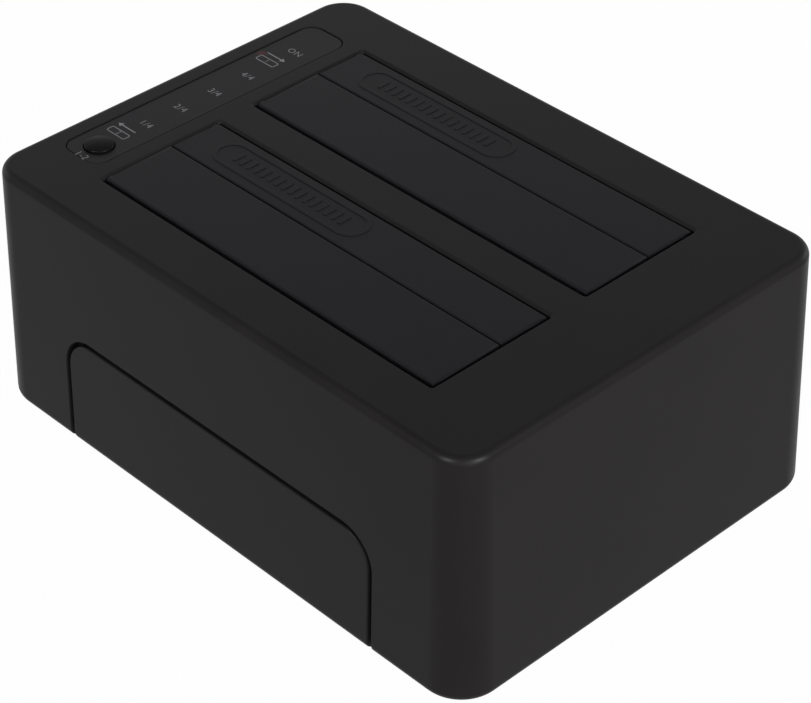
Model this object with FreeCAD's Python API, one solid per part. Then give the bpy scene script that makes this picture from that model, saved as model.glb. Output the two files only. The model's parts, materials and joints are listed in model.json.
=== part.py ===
import FreeCAD, Part
import math
import os

# Dual bay hard drive dock. All sizes in millimetres.
# X runs along the long front face, Y from front to back, Z up.
# The origin is the centre of the footprint, on the surface that the feet stand on.

# Case
case_height = 63.0
foot_stand = 1.0
draft_angle = 1.7
corner_radius = 10.0
top_fillet = 2.0
bottom_fillet = 2.3
wall = 2.6
roof = 2.4

# Drive bays: two openings in the roof, each closed by a wide and a narrow flap
bay_length = 103.9
bay_width = 33.9
bay_divider = 10.45
bay_margin_front = 16.2
bay_margin_rear = 17.55
bay_edge_chamfer = 0.75

# Flaps and the rods that they swing on
flap_thickness = 2.0
flap_side_gap = 0.3
flap_edge_round = 0.8
flap_free_edge_chamfer = 0.2
wide_flap_width = 19.1
wide_hinge_gap = 0.3
narrow_hinge_gap = 0.5
divider_gap = 0.4
barrel_radius = 1.5
rod_radius = 0.6
rod_clearance = 0.05
rod_seat = 3.0
rod_end_play = 0.1
stop_tab_width = 6.0
stop_tab_thickness = 0.9
stop_tab_reach = 0.7
stop_tab_root = 1.5
stop_gap = 0.1
stop_tab_inset = 3.0

# Return springs, one near each end of every rod
spring_wire = 0.35
spring_length = 5.0
spring_end_inset = 12.5
spring_leg = 6.0
spring_rod_gap = 0.05
spring_rest_gap = 0.1
spring_notch_end_gap = 1.0
spring_notch_skin = 0.3

# Raised frame and grip ribs on the narrow flaps
frame_length = 47.8
frame_width = 9.2
frame_line = 1.1
frame_rise = 0.15
frame_inset = 7.85
frame_offset_y = 0.5
rib_count = 16
rib_pitch = 2.3
rib_width = 1.0
rib_length = 3.6

# Wells that guide the drives down to their sockets
well_wall = 1.8
well_floor = 1.8
well_end_room = 1.0
well_side_room = 0.5
well_floor_clearance = 2.5
well_lug_reach = 5.2
well_lug_width = 7.0
well_lug_thickness = 2.4
well_boss_length = 5.0

# Base tray
tray_thickness = 2.0
tray_clearance = 0.25
vent_count = 9
vent_pitch = 9.0
vent_width = 3.0
vent_length = 24.0
vent_row_y = 24.0

# Ribs on the tray that keep the two panels against the case walls
keeper_x = 34.0
keeper_length = 8.0
keeper_thickness = 2.0
keeper_height = 7.0
keeper_gap = 0.1

# Rubber feet
foot_radius = 5.0
foot_pocket_depth = 1.0
foot_inset_x = 21.0
foot_inset_y = 16.0

# Screws
case_screw_inset = 9.2
case_post_radius = 3.0
screw_shank_radius = 1.25
screw_hole_radius = 1.5
screw_pilot_clearance = 0.02
screw_head_radius = 2.4
screw_head_height = 1.2
screw_head_clearance = 0.2
screw_length = 7.0
screw_recess_radius = 0.6
screw_recess_depth = 0.7

# Front panel and the arch that it fills
panel_arch_inset = 26.85
panel_arch_top = 30.7
panel_arch_radius = 8.9
panel_gap = 1.0
panel_edge_chamfer = 0.25
panel_flange = 1.6
panel_flange_margin = 3.0

# Rear panel with the sockets, seen through a lower arch
rear_arch_inset = 35.0
rear_arch_top = 24.0
rear_arch_radius = 6.0
rear_panel_thickness = 2.0
port_clearance = 0.3

# Main board
board_thickness = 1.6
board_stand = 14.4
board_inset_x = 13.0
board_inset_front = 12.0
board_inset_rear = 6.0
board_post_radius = 3.0
board_post_inset_x = 10.0
board_post_inset_front = 6.0
board_post_inset_rear = 12.0

# Drive sockets on top of the main board
drive_socket_length = 44.0
drive_socket_width = 6.6
drive_socket_height = 9.5
drive_socket_inset = 12.5
drive_socket_from_hinge = 7.6
drive_socket_clearance = 0.3
drive_slot_width = 2.6
drive_slot_depth = 6.0
power_slot_length = 21.0
signal_slot_length = 11.0
slot_divider = 2.0
slot_end = 3.5
contact_pitch = 1.27
contact_width = 0.6
contact_thickness = 0.25
power_contact_count = 15
signal_contact_count = 7

# USB socket, power jack and power switch, hung under the main board at its rear edge
usb_x = 0.0
usb_width = 12.0
usb_height = 11.1
usb_depth = 18.0
usb_shell = 0.5
usb_cavity_depth = 9.0
usb_tongue_width = 5.6
usb_tongue_height = 3.2
jack_x = 24.0
jack_width = 9.0
jack_height = 11.0
jack_depth = 14.4
jack_bore_radius = 3.15
jack_bore_depth = 9.5
jack_pin_radius = 1.05
port_face_setback = 0.2
switch_x = -24.0
switch_body = 8.5
switch_body_depth = 12.0
switch_panel_gap = 2.0
power_button_side = 7.0
power_button_proud = 1.9
power_button_travel = 2.0
power_button_corner = 1.2
power_button_clearance = 0.25
power_stem_side = 3.0
power_stem_clearance = 0.1
power_stem_engaged = 3.0

# Label strip, button and indicator lamps along the left end of the roof
strip_inset = 7.4
strip_width = 12.6
strip_bay_gap = 5.05
strip_y = 0.35
strip_radius = 3.4
strip_thickness = 0.6
strip_recess = 0.8
strip_gap = 0.25
button_inset = 6.0
button_radius = 3.45
button_clearance = 0.2
button_proud = 0.35
button_crown = 0.4
button_rim_round = 0.3
button_flange_radius = 4.6
button_flange_thickness = 1.0
button_stem_radius = 1.6
button_travel = 0.5
lamp_inset = 2.6
lamp_distances = (58.4, 52.5, 43.4, 33.3, 23.2, 13.2, 7.8)
lamp_end_margin = 11.7
lamp_window_radius = 1.2
lamp_window_clearance = 0.1
guide_bar_thickness = 2.0
guide_bar_width = 4.4
guide_bar_overhang = 2.6
guide_button_gap = 0.6
guide_drop_radius = 1.3
lamp_length = 2.0
lamp_width = 1.6
lamp_height = 1.2
lamp_guide_gap = 0.3

# Indicator board under the label strip
indicator_drop = 7.6
indicator_thickness = 1.2
indicator_inset = 6.4
indicator_screw_gap = 0.1
indicator_overhang_front = 4.1
indicator_overhang_rear = -2.0
indicator_post_radius = 2.2
indicator_post_inset_x = 3.6
indicator_post_inset_y = 2.8
tact_side = 6.0
tact_height = 3.5
tact_plunger_radius = 1.7
tact_plunger_clearance = 0.05
tact_plunger_proud = 1.5
tact_plunger_engaged = 0.6

# Flat cable between the two boards
cable_inset = 1.2
cable_y = 6.0
cable_width = 8.0
cable_thickness = 0.3
cable_socket_length = 11.0
cable_socket_width = 2.6
cable_socket_height = 2.6
cable_socket_grip = 1.6
cable_slot_clearance = 0.05

# Chips and other parts under the main board
controller_side = 14.0
controller_height = 1.4
bridge_side = 9.0
bridge_height = 1.0
capacitor_radius = 3.15
capacitor_height = 7.0
inductor_side = 7.0
inductor_height = 4.0
controller_place = (0.0, -6.0)
bridge_places = ((-28.0, -22.0), (28.0, -22.0))
capacitor_places = ((38.0, 22.0), (38.0, 12.0), (-40.0, 8.0))
inductor_places = ((24.0, 16.0), (-26.0, 16.0))

# Small lengths for making shapes
over_cut = 1.0
same_place = 1e-4

# Sizes and places that follow from the sizes above
case_length = bay_length + 2 * (strip_inset + strip_width + strip_bay_gap)
case_depth = 2 * bay_width + bay_divider + bay_margin_front + bay_margin_rear
bay_pitch = bay_width + bay_divider
bay_pair_y = (bay_margin_front - bay_margin_rear) / 2
strip_length = button_inset + max(lamp_distances) + lamp_end_margin
case_top = foot_stand + case_height
roof_underside = case_top - roof
tray_top = foot_stand + tray_thickness
board_underside = tray_top + board_stand
board_top = board_underside + board_thickness
well_floor_underside = board_top + well_floor_clearance
well_floor_top = well_floor_underside + well_floor
rod_z = case_top - barrel_radius
draft_slope = math.tan(math.radians(draft_angle))
indicator_top = roof_underside - indicator_drop
indicator_underside = indicator_top - indicator_thickness
front_bay_y = bay_pair_y - bay_pitch / 2
rear_bay_y = bay_pair_y + bay_pitch / 2
flap_length = bay_length - 2 * flap_side_gap
foot_x = case_length / 2 - foot_inset_x
foot_y = case_depth / 2 - foot_inset_y
case_screw_x = case_length / 2 - case_screw_inset
case_screw_y = case_depth / 2 - case_screw_inset
board_x = case_length / 2 - board_inset_x
board_front = board_inset_front - case_depth / 2
board_rear = case_depth / 2 - board_inset_rear
board_post_x = board_x - board_post_inset_x
board_post_y = (board_front + board_post_inset_front, board_rear - board_post_inset_rear)
drive_socket_x = bay_length / 2 - drive_socket_inset - drive_socket_length / 2
frame_x = frame_inset + frame_length / 2 - bay_length / 2
spring_x = bay_length / 2 - spring_end_inset
strip_x = strip_inset + strip_width / 2 - case_length / 2
strip_front = strip_y - strip_length / 2
strip_rear = strip_y + strip_length / 2
button_y = strip_front + button_inset
lamp_x = strip_x - strip_width / 2 + lamp_inset
lamp_places_y = [button_y + distance for distance in lamp_distances]
inner_end_x = bay_length / 2 + well_end_room
well_inner_width = bay_width + 2 * well_side_room
well_screw_x = inner_end_x + well_wall + screw_head_clearance + screw_head_radius
indicator_left = indicator_inset - case_length / 2
indicator_right = -well_screw_x - screw_head_radius - indicator_screw_gap
indicator_front = strip_front - indicator_overhang_front
indicator_rear = strip_rear + indicator_overhang_rear
indicator_post_x = indicator_right - indicator_post_inset_x
indicator_post_y = (indicator_front + indicator_post_inset_y, indicator_rear - indicator_post_inset_y)
cable_x = indicator_right - cable_inset
panel_arch_width = case_length - 2 * panel_arch_inset
rear_arch_width = case_length - 2 * rear_arch_inset
narrow_flap_width = bay_width - wide_hinge_gap - wide_flap_width - divider_gap - narrow_hinge_gap


def vec(x, y, z):
    return FreeCAD.Vector(x, y, z)


def box(x_range, y_range, z_range):
    """A block between the given low and high values along each axis."""
    size = [high - low for low, high in (x_range, y_range, z_range)]
    return Part.makeBox(size[0], size[1], size[2], vec(x_range[0], y_range[0], z_range[0]))


def centred(middle, size):
    """The low and high ends of a span about its middle."""
    return (middle - size / 2, middle + size / 2)


def disc(radius, bottom, top, x=0.0, y=0.0):
    return Part.makeCylinder(radius, top - bottom, vec(x, y, bottom))


def rod_along_x(radius, x_range, y, z):
    return Part.makeCylinder(radius, x_range[1] - x_range[0], vec(x_range[0], y, z), vec(1, 0, 0))


def rounded_outline(x_range, y_range, radius, z):
    """A closed rounded rectangle at one height."""
    x0, x1 = x_range
    y0, y1 = y_range
    corners = ((x1 - radius, y1 - radius), (x0 + radius, y1 - radius),
               (x0 + radius, y0 + radius), (x1 - radius, y0 + radius))
    arcs = []
    for quarter, (x, y) in enumerate(corners):
        points = []
        for turn in (0.0, 0.5, 1.0):
            angle = (quarter + turn) * math.pi / 2
            points.append(vec(x + radius * math.cos(angle), y + radius * math.sin(angle), z))
        arcs.append(points)
    edges = []
    for index, points in enumerate(arcs):
        edges.append(Part.Arc(*points).toShape())
        following = arcs[(index + 1) % len(arcs)][0]
        if points[2].distanceToPoint(following) > same_place:
            edges.append(Part.LineSegment(points[2], following).toShape())
    return Part.Wire(edges)


def rounded_block(x_range, y_range, radius, z_range):
    """An upright block with rounded vertical corners."""
    outline = rounded_outline(x_range, y_range, radius, z_range[0])
    return Part.Face(outline).extrude(vec(0, 0, z_range[1] - z_range[0]))


def drafted_block(inset, bottom, top):
    """The case's outer form between two heights, moved in by a wall."""
    outlines = []
    for z in (bottom, top):
        step = inset + draft_slope * (z - foot_stand)
        outlines.append(rounded_outline(centred(0, case_length - 2 * step),
                                        centred(0, case_depth - 2 * step), corner_radius - step, z))
    return Part.makeLoft(outlines, True, True)


def arch_block(width, top, radius, bottom, y_range):
    """A block along Y whose outline is an arch with rounded upper corners."""
    half = width / 2
    turn = radius * (1 - math.sqrt(0.5))
    y = y_range[0]
    edges = [
        Part.LineSegment(vec(-half, y, bottom), vec(-half, y, top - radius)).toShape(),
        Part.Arc(vec(-half, y, top - radius), vec(-half + turn, y, top - turn),
                 vec(-half + radius, y, top)).toShape(),
        Part.LineSegment(vec(-half + radius, y, top), vec(half - radius, y, top)).toShape(),
        Part.Arc(vec(half - radius, y, top), vec(half - turn, y, top - turn),
                 vec(half, y, top - radius)).toShape(),
        Part.LineSegment(vec(half, y, top - radius), vec(half, y, bottom)).toShape(),
        Part.LineSegment(vec(half, y, bottom), vec(-half, y, bottom)).toShape(),
    ]
    return Part.Face(Part.Wire(edges)).extrude(vec(0, y_range[1] - y_range[0], 0))


def edges_at_height(shape, z):
    """Every edge that lies wholly at one height."""
    return [edge for edge in shape.Edges
            if abs(edge.BoundBox.ZMin - z) < same_place and abs(edge.BoundBox.ZMax - z) < same_place]


def joined(shapes):
    """One solid from overlapping pieces, with leftover seams removed."""
    result = shapes[0]
    for shape in shapes[1:]:
        result = result.fuse(shape)
    return result.removeSplitter()


def cut_all(shape, tools):
    for tool in tools:
        shape = shape.cut(tool)
    return shape


def four_places(x, y):
    return [(sx * x, sy * y) for sx in (-1, 1) for sy in (-1, 1)]


def board_post_places():
    return [(x, y) for x in (-board_post_x, board_post_x) for y in board_post_y]


def wall_face(z):
    """How far the long walls' inner faces lie from the middle at a height."""
    return case_depth / 2 - wall - draft_slope * (z - foot_stand)


def outer_form():
    """The closed outer form of the case with its rounded top and bottom edges."""
    form = drafted_block(0, foot_stand, case_top)
    form = form.makeFillet(top_fillet, edges_at_height(form, case_top))
    return form.makeFillet(bottom_fillet, edges_at_height(form, foot_stand))


def inner_form(extra=0.0):
    """The hollow inside the case walls, moved in further by an extra thickness."""
    return drafted_block(wall + extra, foot_stand, roof_underside)


def bay_cutter(bay_y):
    """The opening of a bay through the roof, with its chamfered upper edge."""
    hole = box(centred(0, bay_length), centred(bay_y, bay_width), (roof_underside, case_top))
    lip_outlines = []
    for z, grow in ((case_top - bay_edge_chamfer, 0.0), (case_top, bay_edge_chamfer)):
        x0, x1 = centred(0, bay_length + 2 * grow)
        y0, y1 = centred(bay_y, bay_width + 2 * grow)
        lip_outlines.append(Part.makePolygon([vec(x0, y0, z), vec(x1, y0, z), vec(x1, y1, z),
                                              vec(x0, y1, z), vec(x0, y0, z)]))
    return hole.fuse(Part.makeLoft(lip_outlines, True, True))


def hinge_places(bay_y):
    """For each flap of a bay: its name, rod position, inward direction and width."""
    front_edge = bay_y - bay_width / 2
    rear_edge = bay_y + bay_width / 2
    return (
        ("wide", front_edge + wide_hinge_gap + barrel_radius, 1, wide_flap_width, front_edge),
        ("narrow", rear_edge - narrow_hinge_gap - barrel_radius, -1, narrow_flap_width, rear_edge),
    )


def rod_groove(rod_y):
    """The room that a rod's ends need in the roof and the well."""
    return rod_along_x(rod_radius + rod_clearance, centred(0, bay_length + 2 * (rod_seat + rod_end_play)),
                       rod_y, rod_z)


def well_lug_places(bay_y):
    """Where the two screws hold a well up to the roof."""
    return [(-well_screw_x, bay_y), (well_screw_x, bay_y)]


def make_top_shell():
    """The one-piece upper case with its roof openings, arches and screw posts."""
    shell = outer_form().cut(inner_form())
    posts = []
    for x, y in four_places(case_screw_x, case_screw_y):
        posts.append(disc(case_post_radius, tray_top, roof_underside + roof / 2, x, y))
    for y in indicator_post_y:
        posts.append(disc(indicator_post_radius, indicator_top, roof_underside + roof / 2,
                          indicator_post_x, y))
    for bay_y in (front_bay_y, rear_bay_y):
        for x, y in well_lug_places(bay_y):
            posts.append(disc(screw_head_radius, roof_underside - well_boss_length,
                              roof_underside + roof / 2, x, y))
    shell = joined([shell] + posts)
    pilot = screw_shank_radius + screw_pilot_clearance
    cutters = []
    for x, y in four_places(case_screw_x, case_screw_y):
        cutters.append(disc(pilot, tray_top, tray_top + screw_length, x, y))
    for y in indicator_post_y:
        cutters.append(disc(pilot, indicator_top, indicator_top + screw_length, indicator_post_x, y))
    for bay_y in (front_bay_y, rear_bay_y):
        for x, y in well_lug_places(bay_y):
            bottom = roof_underside - well_boss_length
            cutters.append(disc(pilot, bottom, bottom + well_boss_length, x, y))
        cutters.append(bay_cutter(bay_y))
        for _, rod_y, _, _, _ in hinge_places(bay_y):
            groove = rod_groove(rod_y)
            span = groove.BoundBox
            cutters.append(box((span.XMin, span.XMax), (span.YMin, span.YMax), (roof_underside, rod_z)))
            cutters.append(groove)
    cutters.append(arch_block(panel_arch_width, foot_stand + panel_arch_top, panel_arch_radius,
                              0, (-case_depth, 0)))
    cutters.append(arch_block(rear_arch_width, foot_stand + rear_arch_top, rear_arch_radius,
                              0, (0, case_depth)))
    cutters.append(rounded_block(centred(strip_x, strip_width + 2 * strip_gap),
                                 centred(strip_y, strip_length + 2 * strip_gap), strip_radius + strip_gap,
                                 (case_top - strip_recess, case_top + over_cut)))
    for y in lamp_places_y:
        cutters.append(disc(lamp_window_radius + lamp_window_clearance, roof_underside,
                            case_top, lamp_x, y))
    cutters.append(disc(button_radius + button_clearance, roof_underside, case_top,
                        strip_x, button_y))
    return cut_all(shell, cutters)


def on_outer_front(edge):
    """Whether an edge lies in the outer face of the front wall."""
    for parameter in (edge.FirstParameter, edge.LastParameter):
        point = edge.valueAt(parameter)
        if abs(point.y + case_depth / 2 - draft_slope * (point.z - foot_stand)) > same_place:
            return False
    return True


def make_front_panel():
    """The blank arch panel, flush with the front wall and held by a flange behind it."""
    radius = panel_arch_radius - panel_gap
    top = foot_stand + panel_arch_top - panel_gap
    window = arch_block(panel_arch_width - 2 * panel_gap, top, radius, foot_stand, (-case_depth, 0))
    plate = outer_form().cut(inner_form()).common(window)
    rim = [edge for edge in plate.Edges if edge.BoundBox.ZMax > foot_stand + bottom_fillet + over_cut
           and on_outer_front(edge)]
    plate = plate.makeChamfer(panel_edge_chamfer, rim)
    outline = arch_block(panel_arch_width + 2 * panel_flange_margin,
                         foot_stand + panel_arch_top + panel_flange_margin,
                         panel_arch_radius + panel_flange_margin, tray_top, (-case_depth, 0))
    layer = inner_form().cut(inner_form(panel_flange))
    flange = layer.common(outline)
    return joined([plate, flange])


def port_places():
    """The three openings of the rear panel: x, z, width, height and clearance."""
    return (
        (usb_x, board_underside - usb_height / 2, usb_width, usb_height, port_clearance),
        (jack_x, board_underside - jack_height / 2, jack_width, jack_height, port_clearance),
        (switch_x, switch_centre_z(), power_button_side, power_button_side, power_button_clearance),
    )


def make_rear_panel():
    """The socket plate that lies behind the rear arch."""
    outline = arch_block(rear_arch_width + 2 * panel_flange_margin,
                         foot_stand + rear_arch_top + panel_flange_margin,
                         rear_arch_radius + panel_flange_margin, tray_top, (0, case_depth))
    layer = inner_form().cut(inner_form(rear_panel_thickness))
    plate = layer.common(outline)
    openings = []
    for x, z, width, height, clearance in port_places():
        openings.append(box(centred(x, width + 2 * clearance), (0, case_depth),
                            centred(z, height + 2 * clearance)))
    return cut_all(plate, openings)


def make_base_tray():
    """The bottom plate with vents, foot pockets, screw holes and board posts."""
    step = wall + tray_clearance
    plate = rounded_block(centred(0, case_length - 2 * step), centred(0, case_depth - 2 * step),
                          corner_radius - step, (foot_stand, tray_top))
    posts = [disc(board_post_radius, foot_stand, board_underside, x, y) for x, y in board_post_places()]
    for side, flange in ((-1, panel_flange), (1, rear_panel_thickness)):
        face = wall_face(tray_top + keeper_height) - flange - keeper_gap
        for x in (-keeper_x, keeper_x):
            y_range = sorted((side * face, side * (face - keeper_thickness)))
            posts.append(box(centred(x, keeper_length), y_range, (foot_stand, tray_top + keeper_height)))
    tray = joined([plate] + posts)
    cutters = []
    for x, y in board_post_places():
        cutters.append(disc(screw_shank_radius + screw_pilot_clearance,
                            board_underside - screw_length, board_underside, x, y))
    for x, y in four_places(foot_x, foot_y):
        cutters.append(disc(foot_radius, foot_stand, foot_stand + foot_pocket_depth, x, y))
    for x, y in four_places(case_screw_x, case_screw_y):
        cutters.append(disc(screw_hole_radius, foot_stand, tray_top, x, y))
        cutters.append(disc(screw_head_radius + screw_head_clearance, foot_stand,
                            foot_stand + screw_head_height, x, y))
    for row in (-1, 1):
        for index in range(vent_count):
            x = (index - (vent_count - 1) / 2) * vent_pitch
            cutters.append(rounded_block(centred(x, vent_width),
                                         centred(row * vent_row_y, vent_length),
                                         vent_width / 2, (foot_stand, tray_top)))
    return cut_all(tray, cutters)


def make_feet():
    """Four round rubber feet, pressed into the pockets of the base."""
    feet = []
    for x, y in four_places(foot_x, foot_y):
        foot = disc(foot_radius, 0, foot_stand + foot_pocket_depth, x, y)
        feet.append(foot.makeFillet(foot_stand / 2, edges_at_height(foot, 0)))
    return Part.Compound(feet)


def screw(x, y, head_z, direction):
    """A pan-head screw whose head seats at head_z and whose shank points up or down."""
    shank = Part.makeCylinder(screw_shank_radius, screw_length, vec(x, y, head_z), vec(0, 0, direction))
    head = Part.makeCylinder(screw_head_radius, screw_head_height, vec(x, y, head_z),
                             vec(0, 0, -direction))
    face_z = head_z - direction * screw_head_height
    recess = Part.makeCylinder(screw_recess_radius, screw_recess_depth, vec(x, y, face_z),
                               vec(0, 0, direction))
    return joined([head, shank]).cut(recess)


def make_case_screws():
    seat = foot_stand + screw_head_height
    return Part.Compound([screw(x, y, seat, 1) for x, y in four_places(case_screw_x, case_screw_y)])


def make_board_screws():
    return Part.Compound([screw(x, y, board_top, -1) for x, y in board_post_places()])


def make_indicator_screws():
    return Part.Compound([screw(indicator_post_x, y, indicator_underside, 1) for y in indicator_post_y])


def make_well_screws():
    seat = roof_underside - well_boss_length - well_lug_thickness
    screws = []
    for bay_y in (front_bay_y, rear_bay_y):
        for x, y in well_lug_places(bay_y):
            screws.append(screw(x, y, seat, 1))
    return Part.Compound(screws)


def drive_socket_y(bay_y):
    """The drive's socket lies a fixed way in from the narrow flap's side of the bay."""
    return bay_y + bay_width / 2 - drive_socket_from_hinge


def make_well(bay_y):
    """An open-topped well under one bay, with a slot in its floor for the drive socket."""
    outer = box(centred(0, 2 * (inner_end_x + well_wall)), centred(bay_y, well_inner_width + 2 * well_wall),
                (well_floor_underside, roof_underside))
    inner = box(centred(0, 2 * inner_end_x), centred(bay_y, well_inner_width), (well_floor_top, roof_underside))
    lug_top = roof_underside - well_boss_length
    lugs = []
    for side in (-1, 1):
        root = side * (inner_end_x + well_wall / 2)
        tip = side * (inner_end_x + well_wall + well_lug_reach)
        lugs.append(box(sorted((root, tip)), centred(bay_y, well_lug_width),
                        (lug_top - well_lug_thickness, lug_top)))
    well = joined([outer.cut(inner)] + lugs)
    slot = box(centred(drive_socket_x, drive_socket_length + 2 * drive_socket_clearance),
               centred(drive_socket_y(bay_y), drive_socket_width + 2 * drive_socket_clearance),
               (well_floor_underside, well_floor_top))
    holes = [disc(screw_hole_radius, lug_top - well_lug_thickness, lug_top, x, y)
             for x, y in well_lug_places(bay_y)]
    grooves = [rod_groove(place[1]) for place in hinge_places(bay_y)]
    return cut_all(well, [slot] + holes + grooves)


def stadium(centre_x, centre_y, length, width, z_range):
    """A flat-sided raised form with fully round ends."""
    return rounded_block(centred(centre_x, length), centred(centre_y, width), width / 2, z_range)


def make_flap(rod_y, inward, width, with_frame):
    """A flap: a plate with a full-length barrel for its rod and two stop tabs."""
    hinge_y = rod_y - inward * barrel_radius
    free_y = hinge_y + inward * width
    plate = box(centred(0, flap_length), sorted((hinge_y, free_y)), (case_top - flap_thickness, case_top))
    under_hinge = box(centred(0, flap_length), sorted((hinge_y, rod_y)), (case_top - flap_thickness, rod_z))
    plate = plate.cut(under_hinge)
    free_rim = [edge for edge in edges_at_height(plate, case_top)
                if abs(edge.CenterOfMass.y - free_y) < flap_free_edge_chamfer]
    plate = plate.makeChamfer(flap_free_edge_chamfer, free_rim)
    outer_rim = [edge for edge in edges_at_height(plate, case_top)
                 if abs(edge.CenterOfMass.y - free_y) > 2 * flap_free_edge_chamfer]
    plate = plate.makeFillet(flap_edge_round, outer_rim)
    barrel = rod_along_x(barrel_radius, centred(0, flap_length), rod_y, rod_z)
    solids = [plate, barrel]
    tab_top = roof_underside - stop_gap
    tab_y = free_y - inward * stop_tab_inset
    tab_span = sorted((tab_y, tab_y - inward * stop_tab_width))
    for side in (-1, 1):
        root_x = side * (flap_length / 2 - stop_tab_root)
        tip_x = side * (bay_length / 2 + stop_tab_reach)
        tab_bottom = tab_top - stop_tab_thickness
        solids.append(box(sorted((root_x, side * flap_length / 2)), tab_span,
                          (tab_bottom, case_top - flap_thickness / 2)))
        solids.append(box(sorted((root_x, tip_x)), tab_span, (tab_bottom, tab_top)))
    flap = joined(solids)
    cutters = [rod_along_x(rod_radius + rod_clearance, centred(0, flap_length + over_cut), rod_y, rod_z)]
    notch = barrel_radius - spring_notch_skin
    for x in (-spring_x, spring_x):
        span = centred(x, spring_length + 2 * spring_notch_end_gap)
        cutters.append(rod_along_x(notch, span, rod_y, rod_z))
        cutters.append(box(span, centred(rod_y, 2 * (barrel_radius + spring_rest_gap)),
                           (rod_z - barrel_radius - spring_rest_gap, rod_z + spring_wire)))
    flap = cut_all(flap, cutters)
    if with_frame:
        flap = add_frame(flap, free_y - inward * width / 2 + frame_offset_y)
    return flap


def add_frame(flap, centre_y):
    """A raised frame with a row of raised ribs inside it."""
    base = case_top - frame_rise
    top = case_top + frame_rise
    outer = stadium(frame_x, centre_y, frame_length, frame_width, (base, top))
    inner = stadium(frame_x, centre_y, frame_length - 2 * frame_line,
                    frame_width - 2 * frame_line, (base, top))
    raised = [outer.cut(inner)]
    for index in range(rib_count):
        x = frame_x + (index - (rib_count - 1) / 2) * rib_pitch
        raised.append(box(centred(x, rib_width), centred(centre_y, rib_length), (base, top)))
    return joined([flap] + raised)


def make_rod(rod_y):
    """The steel rod of one flap, its ends held between the roof and the well."""
    return rod_along_x(rod_radius, centred(0, bay_length + 2 * rod_seat), rod_y, rod_z)


def make_springs(rod_y, inward, wall_y):
    """Two torsion springs on one rod: a wound sleeve with a fixed leg and a lifting leg."""
    springs = []
    inner = rod_radius + spring_rod_gap
    outer = inner + spring_wire
    for x in (-spring_x, spring_x):
        span = centred(x, spring_length)
        wound = rod_along_x(outer, span, rod_y, rod_z).cut(rod_along_x(inner, span, rod_y, rod_z))
        fixed_x = (span[0], span[0] + spring_wire)
        near_wall = wall_y + inward * spring_rest_gap
        reach = sorted((near_wall, rod_y - inward * (inner + spring_wire / 2)))
        arm = box(fixed_x, reach, centred(rod_z, spring_wire))
        drop = box(fixed_x, sorted((near_wall, near_wall + inward * spring_wire)),
                   (rod_z - spring_leg, rod_z + spring_wire / 2))
        lift_x = (span[1] - spring_wire, span[1])
        lift_top = case_top - flap_thickness - spring_rest_gap
        lift = box(lift_x, sorted((rod_y + inward * (inner + spring_wire / 3),
                                   rod_y + inward * (spring_leg + outer))),
                   (lift_top - spring_wire, lift_top))
        springs.append(joined([wound, arm, drop, lift]))
    return Part.Compound(springs)


def make_label_strip():
    """The thin legend strip, let into the roof, with a hole round the button."""
    strip = rounded_block(centred(strip_x, strip_width), (strip_front, strip_rear), strip_radius,
                          (case_top - strip_recess, case_top - strip_recess + strip_thickness))
    return strip.cut(disc(button_radius + button_clearance, roof_underside, case_top,
                          strip_x, button_y))


def make_clone_button():
    """The round button: a domed cap, a retaining flange and a short stem."""
    rim = case_top + button_proud
    top = rim + button_crown
    dome_radius = (button_radius ** 2 + button_crown ** 2) / (2 * button_crown)
    cap = disc(button_radius, roof_underside - stop_gap - button_flange_thickness, top,
               strip_x, button_y)
    cap = cap.common(Part.makeSphere(dome_radius, vec(strip_x, button_y, top - dome_radius)))
    cap = cap.makeFillet(button_rim_round, edges_at_height(cap, rim))
    flange_top = roof_underside - stop_gap
    flange = disc(button_flange_radius, flange_top - button_flange_thickness, flange_top,
                  strip_x, button_y)
    stem_bottom = indicator_top + tact_height + tact_plunger_proud
    stem = disc(button_stem_radius, stem_bottom, flange_top, strip_x, button_y)
    return joined([cap, flange, stem])


def make_tact_plunger():
    bottom = indicator_top + tact_height - tact_plunger_engaged
    top = indicator_top + tact_height + tact_plunger_proud
    return disc(tact_plunger_radius, bottom, top, strip_x, button_y)


def make_tact_switch():
    """The small switch under the button, with the hole that its plunger sinks into."""
    body = box(centred(strip_x, tact_side), centred(button_y, tact_side),
               (indicator_top, indicator_top + tact_height))
    depth = tact_plunger_engaged + button_travel + stop_gap
    return body.cut(disc(tact_plunger_radius + tact_plunger_clearance,
                         indicator_top + tact_height - depth, indicator_top + tact_height,
                         strip_x, button_y))


def make_light_guide():
    """One clear moulding: a bar under the roof, a window pin up and a drop down at each lamp."""
    low = button_y + button_flange_radius + guide_button_gap
    high = max(lamp_places_y) + guide_bar_overhang
    bar_bottom = roof_underside - guide_bar_thickness
    solids = [box(centred(lamp_x, guide_bar_width), (low, high), (bar_bottom, roof_underside))]
    for y in lamp_places_y:
        solids.append(disc(lamp_window_radius, roof_underside - guide_bar_thickness / 2,
                           case_top - strip_recess, lamp_x, y))
        solids.append(disc(guide_drop_radius, indicator_top + lamp_height + lamp_guide_gap,
                           bar_bottom + guide_bar_thickness / 2, lamp_x, y))
    return joined(solids)


def make_indicator_lamps():
    lamps = []
    for y in lamp_places_y:
        lamps.append(box(centred(lamp_x, lamp_width), centred(y, lamp_length),
                         (indicator_top, indicator_top + lamp_height)))
    return Part.Compound(lamps)


def make_indicator_board():
    board = box((indicator_left, indicator_right), (indicator_front, indicator_rear),
                (indicator_underside, indicator_top))
    holes = [disc(screw_hole_radius, indicator_underside, indicator_top, indicator_post_x, y)
             for y in indicator_post_y]
    return cut_all(board, holes)


def make_main_board():
    """The main board with its screw holes."""
    board = box((-board_x, board_x), (board_front, board_rear), (board_underside, board_top))
    return cut_all(board, [disc(screw_hole_radius, board_underside, board_top, x, y)
                           for x, y in board_post_places()])


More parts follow.
